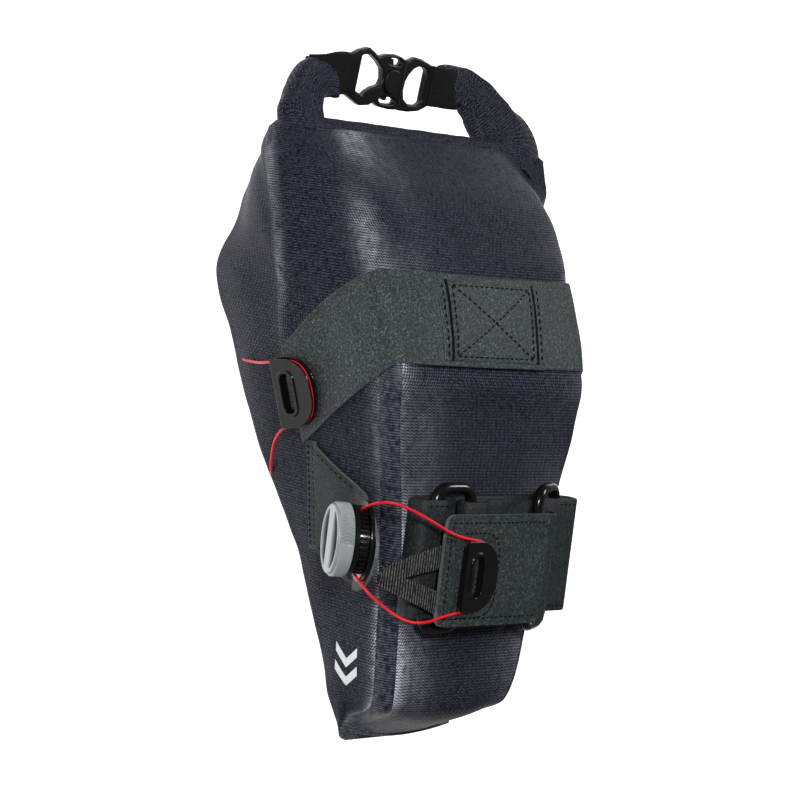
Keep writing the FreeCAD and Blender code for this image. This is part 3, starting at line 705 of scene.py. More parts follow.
lace("lace_side", SIDE_LACE, "side_lace")
OTHER_HALF = [(x, -y, z) for x, y, z in reversed(HALF_COMPRESSION_LACE)]
lace("lace_compression", HALF_COMPRESSION_LACE + OTHER_HALF, "compression_lace")


# ---- the bag's surface
# Stations along X: half width and height of the top edge, of the side crease and of the
# bottom edge, and how far the top panel is crowned between its edges.
STATIONS = [
    # x, top half, top z, crease half, crease z, bottom half, bottom z, crown
    (-168.0, 44.5, -57.0, 88.5, -64.0, 68.0, -77.5, 2.0),
    (-150.0, 50.0, -39.5, 84.0, -64.0, 65.5, -95.5, 6.0),
    (-127.0, 55.3, -26.5, 75.0, -65.0, 57.5, -113.0, 8.0),
    (-103.0, 57.9, -12.0, 67.5, -66.0, 55.0, -125.0, 6.5),
    (-78.0, 57.6, -1.8, 62.5, -67.0, 54.0, -113.0, 3.5),
    (-50.0, 55.2, 0.0, 57.3, -60.0, 51.0, -101.0, 0.0),
    (-20.0, 49.2, 0.0, 51.0, -46.0, 46.5, -84.0, 0.0),
    (17.0, 43.4, 0.0, 45.0, -33.0, 42.0, -64.0, 0.0),
    (53.0, 40.0, 0.0, 41.3, -24.0, 38.0, -48.0, 0.0),
    (70.0, 37.8, -2.2, 38.2, -22.0, 36.0, -41.0, 0.0),
    (77.0, 35.5, -8.0, 36.8, -24.0, 35.2, -38.4, 0.0),
    (83.0, 32.0, -19.0, 35.4, -28.0, 34.4, -36.0, 0.0),
    (88.0, 28.0, -29.0, 33.6, -31.2, 33.2, -33.7, 0.0),
]
MOUTH_X, NOSE_X = STATIONS[0][0], STATIONS[-1][0]
ROLL_Z, ROLL_RADIUS = -68.7, 6.8
NOSE_Z = -30.8                           # height to which the nose is drawn in
RUN_STEPS, CORNER_STEPS = 16, 8          # points along each panel and round each corner
BAND_REAR, BAND_FRONT = -115.0, -78.0
BAND_MIDDLE = (BAND_REAR + BAND_FRONT) / 2
SECTIONS = {}


def station(x):
    """The outline's sizes at any X, on a smooth curve through the stations."""
    x = min(max(x, MOUTH_X), NOSE_X)
    i = 0
    while i < len(STATIONS) - 2 and x > STATIONS[i + 1][0]:
        i += 1
    a, b = STATIONS[i], STATIONS[i + 1]
    before = STATIONS[max(i - 1, 0)]
    after = STATIONS[min(i + 2, len(STATIONS) - 1)]
    span = b[0] - a[0]
    t = (x - a[0]) / span
    values = []
    for k in range(1, len(a)):
        steepest = 3 * abs(b[k] - a[k]) / span
        slope_in = max(-steepest, min(steepest, (b[k] - before[k]) / (b[0] - before[0])))
        slope_out = max(-steepest, min(steepest, (after[k] - a[k]) / (after[0] - a[0])))
        ease = a[k] * (1 + 2 * t) * (1 - t) ** 2 + b[k] * t * t * (3 - 2 * t)
        values.append(ease + span * (slope_in * t * (1 - t) ** 2 - slope_out * t * t * (1 - t)))
    return values


def corner_radii(x):
    """Rounding of the top edge, of the side crease and of the bottom edge."""
    tail = 1 - 0.45 * smooth(x, 60, 85)
    return 8.0 * tail, 2.5 + 12.0 * smooth(x, -95, -30), 5.5 * tail


def section(x):
    """Half of the outline at X, from the top's middle to the bottom's: points, normals, lengths."""
    key = round(x, 3)
    if key in SECTIONS:
        return SECTIONS[key]
    top, top_z, crease, crease_z, bottom, bottom_z, crown = station(x)
    corners = [V(0, top_z + crown), V(top, top_z), V(crease, crease_z), V(bottom, bottom_z),
               V(0, bottom_z - 1.5)]
    rear = 1 - smooth(x, -110, -40)
    bulges = [0.0, 0.6 - 2.2 * rear, 0.8 + 1.2 * rear, 0.0]
    points, start, ridge = [], corners[0], 0
    for i, radius in enumerate(corner_radii(x), start=1):
        into, out = corners[i] - corners[i - 1], corners[i + 1] - corners[i]
        reach = min(radius * math.tan(into.angle(out) / 2), 0.45 * into.length, 0.45 * out.length)
        a = corners[i] - into.normalized() * reach
        b = corners[i] + out.normalized() * reach
        outward = V(-into.y, into.x).normalized()
        for step in range(RUN_STEPS):
            share = step / RUN_STEPS
            bulge = outward * (bulges[i - 1] * math.sin(math.pi * share))
            points.append(start.lerp(a, share) + bulge)
        for step in range(CORNER_STEPS):
            t = step / CORNER_STEPS
            points.append(a * (1 - t) ** 2 + corners[i] * 2 * t * (1 - t) + b * t ** 2)
        if i == 1:
            ridge = len(points) - CORNER_STEPS // 2
        start = b
    for step in range(RUN_STEPS + 1):
        points.append(start.lerp(corners[-1], step / RUN_STEPS))
    for point in points[:ridge]:
        share = min(1.0, point.x / top)
        point.y += crown * (share - share * share)
    lengths = lengths_along(points)
    normals = []
    for i in range(len(points)):
        step = points[min(i + 1, len(points) - 1)] - points[max(i - 1, 0)]
        normals.append(V(-step.y, step.x).normalized())
    SECTIONS[key] = (points, normals, lengths, lengths[ridge])
    return SECTIONS[key]


def ridge_at(x):
    """Length round the outline from the top's middle to the top edge."""
    return section(x)[3]


def length_at(x, z):
    """Length round the outline to a height on the side panel."""
    points, _, lengths, ridge = section(x)
    for i in range(len(points) - 1):
        a, b = points[i], points[i + 1]
        if lengths[i] >= ridge and a.y >= z > b.y:
            return lengths[i] + (lengths[i + 1] - lengths[i]) * (a.y - z) / (a.y - b.y)
    return ridge


def relief(x, w):
    """How far the cloth stands out of its plain outline: sag, puckers and soft folds."""
    _, _, lengths, ridge = section(x)
    v = abs(w)
    off_edge = smooth(abs(v - ridge), 2, 15)
    broad = noise.noise(V(x / 36, w / 30, 3.0)) * 1.7 * off_edge
    small = noise.noise(V(x / 13 + 5, w / 16, 8.0)) * 0.5
    stiffened = smooth(x, -52, -36) * (1 - smooth(x, 40, 56)) * (1 - smooth(v, 40, 60))
    result = (broad + small) * (1 - 0.9 * stiffened)
    from_band = abs(x - BAND_MIDDLE)
    upper = 1 - smooth(v, ridge - 2, ridge + 10)
    pinch = 1 - smooth(from_band, 17, 24)
    swell = math.exp(-((from_band - 28) / 7) ** 2)
    result += (0.8 * swell - 0.9 * pinch) * upper
    fan = math.sin(w * 0.25 + noise.noise(V(x / 22, w / 25, 2.0)) * 3.5)
    result += fan * 0.35 * smooth(-x, 122, 158)
    ends = smooth(x, MOUTH_X, MOUTH_X + 6) * (1 - smooth(x, NOSE_X - 8, NOSE_X))
    return result * ends * smooth(lengths[-1] - v, 0, 8)


def cloth(x, w, lift=0.0):
    """A point on the cloth at X, w round from the top's middle, negative on the near side."""
    points, normals, lengths, ridge = section(x)
    v = min(abs(w), lengths[-1])
    i = max(0, min(bisect_right(lengths, v) - 1, len(points) - 2))
    share = (v - lengths[i]) / (lengths[i + 1] - lengths[i])
    flat = points[i].lerp(points[i + 1], share)
    out = normals[i].lerp(normals[i + 1], share).normalized()
    flat = flat + out * (lift + relief(x, w))
    outer = min(1.0, max(0.0, flat.x / 33))
    upper = smooth(flat.y, -34, -26)
    if w > 0:
        swell = 2.4 * (1 - smooth(x, 56, 74)) + 4.5 * math.exp(-((x + 140) / 20) ** 2)
        outward = smooth(flat.x, 22, 50)
        flat.x += swell * outward * smooth(flat.y, -85, -62) * smooth(x, -166, -152)
        shoulder = 1.6 + 2.0 * math.exp(-((x + 130) / 32) ** 2)
        flat.x += shoulder * outward * (1 - smooth(v, ridge + 4, ridge + 42))
        upper = 0.55 + 0.45 * upper
    round_off = 5.5 * smooth(x, 64, 84) * outer ** 2.2 * upper
    return V(x - round_off, math.copysign(flat.x, w), flat.y)


def cloth_normal(x, w):
    """The cloth's outward direction at a place."""
    along = cloth(x + 1.5, w) - cloth(x - 1.5, w)
    around = cloth(x, w - 1.5) - cloth(x, w + 1.5)
    return around.cross(along).normalized()


def on_top(x, y):
    """The length round the outline to a place on the top panel."""
    points, _, lengths, _ = section(x)
    for i in range(len(points) - 1):
        if points[i].x <= abs(y) <= points[i + 1].x:
            share = (abs(y) - points[i].x) / (points[i + 1].x - points[i].x)
            return math.copysign(lengths[i] + share * (lengths[i + 1] - lengths[i]), y)
    return math.copysign(lengths[-1] / 3, y)


def draped(name, rows, material, thickness, lift=0.3, rim=None, rounding=0.3):
    """A piece that lies on the cloth. Rows of (x, w) run along +X, and each from far to near."""
    made = grid(name, [[cloth(x, w, lift) for x, w in row] for row in rows], material)
    return thicken(made, thickness, rim, rounding)


def seam(places, lift):
    """A line of (point, normal) on the cloth for stitches, through places of (x, w)."""
    return [(cloth(x, w, lift), cloth_normal(x, w)) for x, w in places]


def highlight_and_wear(x, w):
    """How far the cloth's raised threads are painted pale along its edges and creases, 0 to 1: a
    painted highlight with some rubbing.
    """
    ridge = ridge_at(x)
    v = abs(w)
    patches = 0.55 + 0.9 * noise.noise(V(x / 34, w / 30, 21.0))
    edge = math.exp(-((v - ridge - 1.5) / 6.5) ** 2)
    shoulder = 0.30 * math.exp(-((v - ridge + 9) / 13) ** 2)
    from_crease = v - length_at(x, station(x)[3])
    crease = 0.32 * math.exp(-(from_crease / 2.2) ** 2) * (1 - smooth(x, -95, -60))
    nose = 0.5 * math.exp(-((v - ridge - 7.5) / 1.6) ** 2) * smooth(x, 10, 24)
    lit_and_rubbed = (edge + shoulder) * (0.65 + 0.35 * smooth(x, -160, -60)) + crease + nose
    # The far side gets less of the painted highlight.
    if w > 0:
        lit_and_rubbed *= 0.3
    return min(1.0, max(0.0, lit_and_rubbed * patches))


def lengths_round(x):
    """Lengths round the whole outline, from the bottom's middle over the far side to the near."""
    lengths = section(x)[2]
    return lengths[::-1] + [-v for v in lengths[1:-1]]


def drawn_in(row, step, middle_z, out, narrowing):
    """A row of the skin past its end, turned in step by step towards a height."""
    angle = math.radians(22.0 * step)
    return [V(p.x + out * math.sin(angle), p.y * (1 - narrowing * step),
              middle_z + (p.z - middle_z) * math.cos(angle)) for p in row]


def make_shell():
    """The bag's body: one closed skin of cloth over all its panels."""
    fine_from = NOSE_X - 14                  # rows every 2 mm before it and every 1 mm after
    xs = [MOUTH_X + i * 2.0 for i in range(int((fine_from - MOUTH_X) / 2.0))]
    xs += [fine_from + i * 1.0 for i in range(15)]
    rows = [[cloth(x, w) for w in lengths_round(x)] for x in xs]
    tucked = [drawn_in(rows[0], step, ROLL_Z, -3.0, 0.02) for step in (4, 3, 2, 1)]
    nosed = [drawn_in(rows[-1], step, NOSE_Z, 1.6, 0.012) for step in (1, 2, 3, 4)]
    shell = grid("bag_shell", tucked + rows + nosed, FABRIC, closed=True, caps=True)
    # Each point's painted highlight with some rubbing, which the fabric's colour reads.
    layer = shell.data.attributes.new("highlight_and_wear", "FLOAT", "POINT")
    row_xs = xs[:1] * len(tucked) + xs + xs[-1:] * len(nosed)
    places = [(x, w) for x in row_xs for w in lengths_round(x)]
    for item, (x, w) in zip(layer.data, places):
        item.value = highlight_and_wear(x, w)
    stand_in(shell, "shell_fabric", "root", "shell_top_panel", "shell_side_near",
             "shell_side_far", "shell_bottom_panel", "shell_nose_panel")


make_shell()


# ---- compression band
WING_REAR = (-74.0, -67.0)               # x and z of the wing tip's rear and front corners
WING_FRONT = (-35.0, -56.0)
ACROSS = 12                              # steps across the band's width


def wing_place(share, down):
    """A place on the near wing: share 0 at its rear edge, down 0 at the bag's top edge."""
    ridge_x = mix(BAND_REAR, BAND_FRONT, share)
    end_x = mix(WING_REAR[0], WING_FRONT[0], share)
    end_z = mix(WING_REAR[1], WING_FRONT[1], share)
    bow = -4.5 * math.sin(math.pi * down) * (1 - share)
    x = ridge_x + (end_x - ridge_x) * down + bow
    reach = length_at(end_x, end_z) - ridge_at(end_x)
    return x, ridge_at(x) + reach * down


def band_place(share, run):
    """A place on the band: run -1..1 goes over the top panel, and beyond 1 down the wing."""
    if abs(run) > 1:
        x, v = wing_place(share, abs(run) - 1)
        return x, math.copysign(v, run)
    x = mix(BAND_REAR, BAND_FRONT, share)
    return x, run * ridge_at(x)


def make_band(name, runs, lift_of, node):
    """One half of the band, laid on the cloth over a list of runs from far to near."""
    rows = []
    for i in range(ACROSS + 1):
        row = []
        for run in runs:
            x, w = band_place(i / ACROSS, run)
            row.append(cloth(x, w, lift_of(i / ACROSS, run)))
        rows.append(row)
    made = thicken(grid(name, rows, LAMINATE), 1.3, EDGE, 0.3)
    stand_in(made, "band_laminate", "root", node)


def near_lift(share, run):
    """The near half's height over the cloth: it laps over the far half and ripples a little."""
    over_far = smooth(run, -0.92, -0.7)
    wing = smooth(-run, 1.0, 1.4)
    ripple = 0.35 * math.sin(run * 9 + share * 3) * (1 - wing)
    return 0.5 + 1.5 * over_far + 0.5 * wing + ripple * over_far * 0.5


def far_lift(_, run):
    return 0.35 + 0.6 * smooth(run, 1.0, 1.4)


make_band("band_far", steps(1.97, -0.75, 54), far_lift, "compression_band_far")
make_band("band_near", steps(0.5, -1.97, 54), near_lift, "compression_band_near")


def patch_place(share, y_share):
    """A place on the sewn patch, a little skewed."""
    x = BAND_REAR + 1.5 + (BAND_FRONT - BAND_REAR - 4.0) * share
    y = -32.0 + 61.0 * y_share - 2.0 * share
    return x, on_top(x, y)


PATCH_ROWS = [[patch_place(i / 10, 1 - j / 22) for j in range(23)] for i in range(11)]
patch = draped("band_patch_visual", PATCH_ROWS, LAMINATE, 0.9, 3.0, EDGE)
stand_in(patch, "band_laminate", "root", "band_patch")


def patch_seam(a, b):
    shares = zip(steps(a[0], b[0], 14), steps(a[1], b[1], 14))
    return seam([patch_place(share, y_share) for share, y_share in shares], 4.05)


# The box, its two diagonals, and a line along each end of the patch.
corners = [(0.06, 0.12), (0.94, 0.12), (0.06, 0.89), (0.94, 0.89)]
patch_lines = [patch_seam(corners[a], corners[b])
               for a, b in ((0, 1), (2, 3), (0, 2), (1, 3), (0, 3), (2, 1))]
patch_lines += [patch_seam((0.04, y_share), (0.96, y_share)) for y_share in (0.035, 0.975)]
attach(stitches("patch_stitches", patch_lines), "root")
# Dark strips on the patch's two channels: painted shade in their grooves.
for side, edge in (("near", 0.075), ("far", 0.935)):
    rows = [[patch_place(i / 10, edge + offset) for offset in (0.011, -0.011)] for i in range(11)]
    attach(draped("patch_channel_" + side, rows, THREAD, 0.25, 3.85), "root")


# ---- seam tapes, print and welt
def make_tape(side, sign):
    rows = []
    for x in steps(-84.0, 83.0, 89):
        places = [(x, sign * (ridge_at(x) + down)) for down in steps(-2.0, 8.0, 6)]
        rows.append(places if sign < 0 else places[::-1])
    made = draped("seam_tape_" + side + "_visual", rows, TAPE, 0.45, 0.02)
    stand_in(made, "shell_fabric", "root", "seam_tape_" + side)


make_tape("near", -1)
make_tape("far", 1)


def side_place(x, z):
    """A place on the near side panel at a height."""
    return x, -length_at(x, z)


chevrons = []
for shift in (0.0, 8.0):
    for z_start, x_start, x_end in ((-19.5, 46.0, 52.0), (-26.5, 52.0, 46.0)):
        rows = []
        for across in steps(0.0, 4.0, 3):
            places = [side_place(mix(x_start, x_end, t) + shift + across, z_start - 7.0 * t)
                      for t in steps(0.0, 1.0, 7)]
            rows.append([cloth(x, w, 0.12) for x, w in places])
        chevrons.append(grid("chevron", rows, PRINT))
print_piece = joined("print_chevrons", chevrons)
stand_in(print_piece, "reflective", "root", "reflective_print")

welt_rows = [[side_place(x, z) for z in steps(-46.5, -52.6, 4)] for x in steps(-38.0, 9.0, 24)]
welt = draped("slit_welt", welt_rows, SHADED_LAMINATE, 1.2, 0.2, EDGE, 0.4)
stand_in(welt, "trim_fabric", "root", "side_slit_welt")
welt_lines = [seam([side_place(x, z) for x in steps(-36.5, 7.5, 20)], 1.5) for z in (-47.8, -51.2)]
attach(stitches("welt_stitches", welt_lines, 2.6, 1.8, 0.3), "root")


# ---- side dial's tab
TAB_ROOT_Z, TAB_BEND = -47.0, 26.0
TAB_FOOT = V(0.0, -48.9, -21.0)
TAB_UP = V(0.0, -0.5, 0.8660)
TAB_OUT = V(0.0, -0.8660, -0.5)
# Length up the tab, and its two edges' X there.
TAB_OUTLINE = [(0.0, -37.0, 8.0), (12.0, -30.5, 16.0), (26.0, -23.5, 20.0), (40.0, -18.5, 19.0),
               (50.0, -14.5, 15.0), (57.0, -10.0, 9.5), (61.0, -6.5, 4.0), (62.5, -4.5, 1.0)]


def tab_point(x, along, lift=0.0):
    """A point of the tab: flat on the side panel, then standing away from it."""
    z = TAB_ROOT_Z + min(along, TAB_BEND)
    x_on, w = side_place(x, z)
    flat = cloth(x_on, w, 0.6 + lift)
    if along < TAB_BEND:
        return flat
    up = along - TAB_BEND
    held = 1 - smooth(up, 0.0, 7.0)
    stand = TAB_FOOT + TAB_UP * up
    return V(x, stand.y + (flat.y - TAB_FOOT.y) * held, stand.z) + TAB_OUT * lift


def tab_width(along):
    """The tab's two edges along X at a length up it."""
    for (a, low_a, high_a), (b, low_b, high_b) in zip(TAB_OUTLINE, TAB_OUTLINE[1:]):
        if along <= b:
            t = (along - a) / (b - a)
            return mix(low_a, low_b, t), mix(high_a, high_b, t)
    return TAB_OUTLINE[-1][1:]


tab_rows = []
for along in steps(0.0, TAB_OUTLINE[-1][0], 44):
    low, high = tab_width(along)
    tab_rows.append([tab_point(x, along) for x in steps(low, high, 22)])
tab = thicken(grid("dial_tab", tab_rows, SHADED_LAMINATE), 1.5, EDGE, 0.35)
stand_in(tab, "band_laminate", "root", "side_dial_tab")


tab_lines = [[], []]                     # stitches a little inside the tab's two edges
for along in steps(2.0, 24.0, 26):
    low, high = tab_width(along)
    for line, x in zip(tab_lines, (low + 2.6, high - 2.6)):
        line.append((tab_point(x, along, 1.55), TAB_OUT))
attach(stitches("tab_stitches", tab_lines, 2.8, 2.0, 0.3), "root")


# ---- patch under the bag
def under_place(x, y):
    """A place on the bottom panel."""
    total = section(x)[2][-1]
    return x, math.copysign(total - abs(y), y)


under_ys = steps(-24.0, 0.0, 6)[:-1] + [-0.01, 0.01] + steps(0.0, 24.0, 6)[1:]
under_rows = [[under_place(x, y) for y in under_ys] for x in steps(-18.0, 28.0, 12)]
under = draped("under_patch", under_rows, SHADED_LAMINATE, 1.5, 0.3, EDGE)
stand_in(under, "band_laminate", "root", "under_dial_patch")
under_lines = [seam([under_place(x, y) for x in steps(-16.0, 26.0, 16)], 1.85)
               for y in (-21.5, 21.5)]
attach(stitches("under_stitches", under_lines), "root")


# ---- rolled mouth and its two ends
TILT = math.radians(30.0)
HANDLE_CENTRE = V(-193.58, 0.0, -83.7)
HANDLE_X = V(math.cos(TILT), 0.0, math.sin(TILT))
HANDLE_UP = V(-math.sin(TILT), 0.0, math.cos(TILT))
# Centre line and half width of each folded end, from the mouth to the buckle.
NEAR_ARM = [(32.0, -63.0, 14.0), (24.0, -62.5, 12.0), (15.0, -58.5, 9.8), (8.5, -54.5, 9.2),
            (3.0, -48.5, 9.2), (1.5, -40.0, 9.4), (1.5, -35.5, 9.6)]
FAR_ARM = [(36.0, 61.0, 16.0), (23.0, 67.0, 21.5), (12.0, 60.5, 17.0), (4.0, 55.5, 14.5),
           (-2.0, 49.5, 12.5), (-4.5, 42.0, 10.6), (-3.5, 36.5, 10.0)]


def handle(x, y):
    """A point of the tilted plane in which the rolled ends bend round."""
    return HANDLE_CENTRE + HANDLE_X * x + V(0, y, 0)


def crease(angle, along, seed, depth):
    """Change of a folded end's outline where its layers meet, drifting along it."""
    size = 0.0
    for start, drift in ((0.55, 0.8), (1.75, -0.6), (3.5, 0.6), (5.5, 0.5)):
        centre = start + drift * noise.noise(V(along / 26, start * 3, seed))
        off = (angle - centre + math.pi) % (2 * math.pi) - math.pi
        size -= depth * math.exp(-(off / 0.13) ** 2)
        size += 0.5 * depth * math.exp(-((off - 0.34) / 0.22) ** 2)
    return size


def folded_end(name, stations, seed):
    """A flattened, folded end of the rolled mouth, along stations of (x, y, half width)."""
    places = [handle(x, y) for x, y, _ in stations]
    path = evenly(rounded(places, 10.0, 8), 1.0)
    total = lengths_along(path)[-1]
    marks = lengths_along(places)
    marks = [mark / marks[-1] for mark in marks]
    count = 96

    def profile(t):
        i = max(k for k in range(len(marks) - 1) if marks[k] <= t + 1e-9)
        share = smooth(t, marks[i], marks[i + 1])
        wide = mix(stations[i][2], stations[i + 1][2], share)
        thick = 6.3 - 2.6 * smooth(t, 0.55, 1.0)
        close = 1 - 0.75 * smooth(t, 0.985, 1.0)
        shape = []
        for k in range(count):
            angle = 2 * math.pi * k / count
            size = 1 + crease(angle, t * total, seed, 0.17)
            c, s = math.cos(angle), math.sin(angle)
            size += 0.09 * noise.noise(V(c * 2, s * 2, t * total / 8 + seed))
            a = math.copysign(abs(c) ** 0.85, c) * thick * size * close
            b = math.copysign(abs(s) ** 0.95, s) * wide * (1 + 0.35 * (size - 1))
            shape.append((a, b))
        return shape

    made = sweep(name, path, profile, HANDLE_UP, FABRIC)
    made.data.set_sharp_from_angle(angle=math.radians(75))
    return made


def rolled_mouth():
    """The mouth rolled round its stiffener: a spiral of cloth with its lap on the outside."""
    path = [handle(30.0, y) for y in steps(64.0, -62.0, 84)]
    count = 72

    def profile(t):
        shape = []
        for k in range(count):
            angle = 2 * math.pi * k / count
            lap = ((angle - 0.8) % (2 * math.pi)) / (2 * math.pi)
            size = 0.91 + 0.15 * lap
            c, s = math.cos(angle), math.sin(angle)
            size += 0.05 * noise.noise(V(c * 1.5, s * 1.5, t * 14))
            shape.append((ROLL_RADIUS * size * c, ROLL_RADIUS * size * s))
        return shape

    return sweep("rolled_mouth", path, profile, HANDLE_UP, FABRIC)


stand_in(rolled_mouth(), "shell_fabric", "root", "roll_top")
stand_in(folded_end("rolled_end_near", NEAR_ARM, 0.5), "shell_fabric", "root", "roll_end_near")
far_end = folded_end("rolled_end_far", FAR_ARM, 7.5)
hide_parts("roll_end_far")
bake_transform(far_end)


# ---- buckle and its webbing
BUCKLE_CENTRE = V(-195.31, 0.0, -84.7)
BUCKLE_UP = V(0.1219, 0.0, 0.9925)
BAR_Y, LAP_RISE = 24.5, 3.0


def webbing(name, sign):
    """Webbing from inside a rolled end, round the buckle's bar and back into the end."""
    flat = [(48.0, -1.0), (45.0, -1.6), (38.0, -2.6), (30.0, -LAP_RISE), (BAR_Y, -LAP_RISE)]
    for step in range(1, 8):
        angle = math.pi * step / 8
        flat.append((BAR_Y - LAP_RISE * math.sin(angle), -LAP_RISE * math.cos(angle)))
    flat += [(BAR_Y, LAP_RISE), (30.0, LAP_RISE), (38.0, 2.6), (45.0, 1.2), (48.0, 0.8)]
    flat = [(p.x, p.y) for p in evenly([V(a, b) for a, b in flat], 0.9)]
    path, sides = [], []
    for out, rise in flat:
        turn = smooth(out, 27.0, 50.0)
        tilt = math.radians(-7.0 + 37.0 * turn)
        arm = handle(1.0, 0.0) if sign < 0 else handle(-2.0, 0.0)
        middle = BUCKLE_CENTRE.lerp(arm, smooth(out, 26.0, 44.0))
        up = V(-math.sin(tilt), 0, math.cos(tilt))
        path.append(V(middle.x, sign * out, middle.z) + up * rise)
        sides.append(V(math.cos(tilt), 0, math.sin(tilt)))
    return sweep(name, path, strap_profile(-9.0, 9.0, 1.6), sides, WEBBING)


for side, sign, body in (("near", -1, "root"), ("far", 1, "buckle_male")):
    stand_in(webbing("webbing_" + side, sign), "webbing", body, "buckle_webbing_" + side)


def oval(centre, half_length, half_width, count=28):
    """A slot's outline: an oval stretched along the first axis."""
    return [(centre[0] + half_length * math.copysign(abs(math.cos(a)) ** 0.8, math.cos(a)),
             centre[1] + half_width * math.copysign(abs(math.sin(a)) ** 0.8, math.sin(a)))
            for a in (2 * math.pi * i / count for i in range(count))]


# Outlines along Y and across, in the buckle's own plane.
FEMALE_OUTER = [(-26.6, 6.5), (-25.2, 9.3), (-22.0, 11.2), (-17.0, 12.8), (-13.6, 11.2),
                (-10.6, 9.4), (-5.6, 11.0), (-0.7, 11.5), (3.3, 10.8), (6.0, 9.8),
                (6.0, -12.9), (1.4, -13.1),
                (-4.8, -12.6), (-8.8, -10.9), (-11.0, -12.4), (-16.6, -13.2), (-20.5, -11.6),
                (-25.6, -9.4), (-26.6, -7.0)]
FEMALE_WINDOW = [(-20.8, 9.0), (-15.9, 9.8), (-10.5, 6.9), (-7.0, 4.0), (-5.9, 0.0), (-6.6, -2.8),
                 (-10.9, -4.4), (-13.6, -6.2), (-16.0, -8.3), (-20.8, -7.0), (-21.6, -1.0),
                 (-21.3, 5.5)]
MALE_OUTER = [(6.4, 9.7), (8.8, 10.0), (12.2, 11.7), (15.5, 11.4), (22.6, 9.4), (26.6, 7.0),
              (26.6, -7.6), (24.4, -9.6), (19.8, -12.0), (13.2, -13.0), (6.4, -12.9)]
MALE_WINDOW = [(15.3, 7.9), (18.7, 7.7), (20.7, 6.2), (21.5, -4.4), (20.6, -8.1), (18.5, -9.4),
               (12.9, -9.6), (9.4, -7.5), (8.2, -3.8), (8.4, 0.6), (10.0, 3.9), (12.5, 6.6)]
BUCKLE_PLACE = place_frame(BUCKLE_CENTRE, Y_AXIS, BUCKLE_UP)
female = [rounded_outline(FEMALE_OUTER, 1.6), rounded_outline(FEMALE_WINDOW, 1.6),
          oval((-0.2, 8.3), 4.1, 1.5), oval((-0.6, -9.2), 5.0, 1.5)]
male = [rounded_outline(MALE_OUTER, 1.4), rounded_outline(MALE_WINDOW, 1.5)]
tongue = [rounded_outline([(4.4, 7.3), (8.0, 7.3), (8.0, -7.3), (4.4, -7.3)], 0.8)]
for name, outlines, body in (("buckle_female", female, "root"),
                             ("buckle_male", male, "buckle_male")):
    made = plate(name + "_visual", outlines, -2.0, 2.0, 0.8, SATIN)
    if name == "buckle_male":
        made = joined(name + "_visual", [made, plate("tongue", tongue, -1.25, 1.25, 0.3, SATIN)])
    made = moved(made, BUCKLE_PLACE)
    stand_in(made, "buckle_plastic", body, name)
raised = [oval((-0.2, -0.6), 4.6, 5.4)]
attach(moved(plate("buckle_button", raised, 1.6, 2.9, 0.5, SATIN), BUCKLE_PLACE), "root")


# ---- lacing dials
SIDE_DIAL = place_frame(V(-3.0, -59.845, -5.842), V(1, 0, 0), V(0, -0.8660, -0.5))
UNDER_DIAL = place_frame(V(3.9025, 0.0, -72.640), V(0, -1, 0), V(0.475, 0, -0.880))


def knob_rim(name):
    """The knob's rim, with herringbone ribs on two opposite quarters."""
    profile = [(12.6, 7.7, 0), (14.9, 7.75, 0), (15.35, 8.0, 0), (15.5, 8.4, 1), (15.5, 9.2, 1),
               (15.5, 10.1, 1), (15.5, 10.9, 1), (15.5, 11.7, 1), (15.5, 12.5, 1), (15.45, 13.2, 1),
               (15.2, 13.6, 0), (14.7, 13.8, 0), (14.3, 13.6, 0), (13.6, 13.0, 0)]
    count = 720
    rows = []
    for r, h, ribbed in profile:
        ring = []
        for i in range(count):
            angle = 2 * math.pi * i / count
            degrees = math.degrees(angle) % 180
            zone = smooth(degrees, 88, 94) * (1 - smooth(degrees, 170, 176))
            wave = 0.5 + 0.5 * math.sin(60 * angle + abs(h - 10.8) * 1.9)
            cut = zone * ribbed * wave       # ribs 1 mm deep
            ring.append(V((r - cut) * math.cos(angle), (r - cut) * math.sin(angle), h))
        rows.append(ring)
    return grid(name, rows, SILVER, closed=True)


def finger_recess(sign):
    """The D outline of one of the two recesses beside the knob's bar."""
    radius, low = 12.6, 4.4
    start = math.asin(low / radius)
    arc = [(radius * math.cos(a), sign * radius * math.sin(a))
           for a in steps(start, math.pi - start, 30)]
    return rounded_outline(arc, 0.8, 3)


def make_knob(prefix, place, body):
    rim = knob_rim(prefix + "_rim")
    face_outlines = [circle(14.5, 96), finger_recess(1), finger_recess(-1)]
    face = plate(prefix + "_face", face_outlines, 11.2, 15.0, 0.6, SILVER)
    skirt_profile = [(2.2, 8.1), (12.8, 7.7), (14.4, 7.9), (14.4, 12.8)]
    skirt = lathe(prefix + "_skirt", skirt_profile, SILVER)
    knob = joined(prefix + "_knob_visual", [rim, face, skirt])
    moved(knob, place)
    stand_in(knob, "dial_knob", body, prefix + "_knob")
    well_profile = [(0.01, 9.6), (6.0, 9.6), (12.9, 9.9), (14.0, 11.8)]
    well = lathe(prefix + "_well", well_profile, SATIN)
    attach(moved(well, place), body)


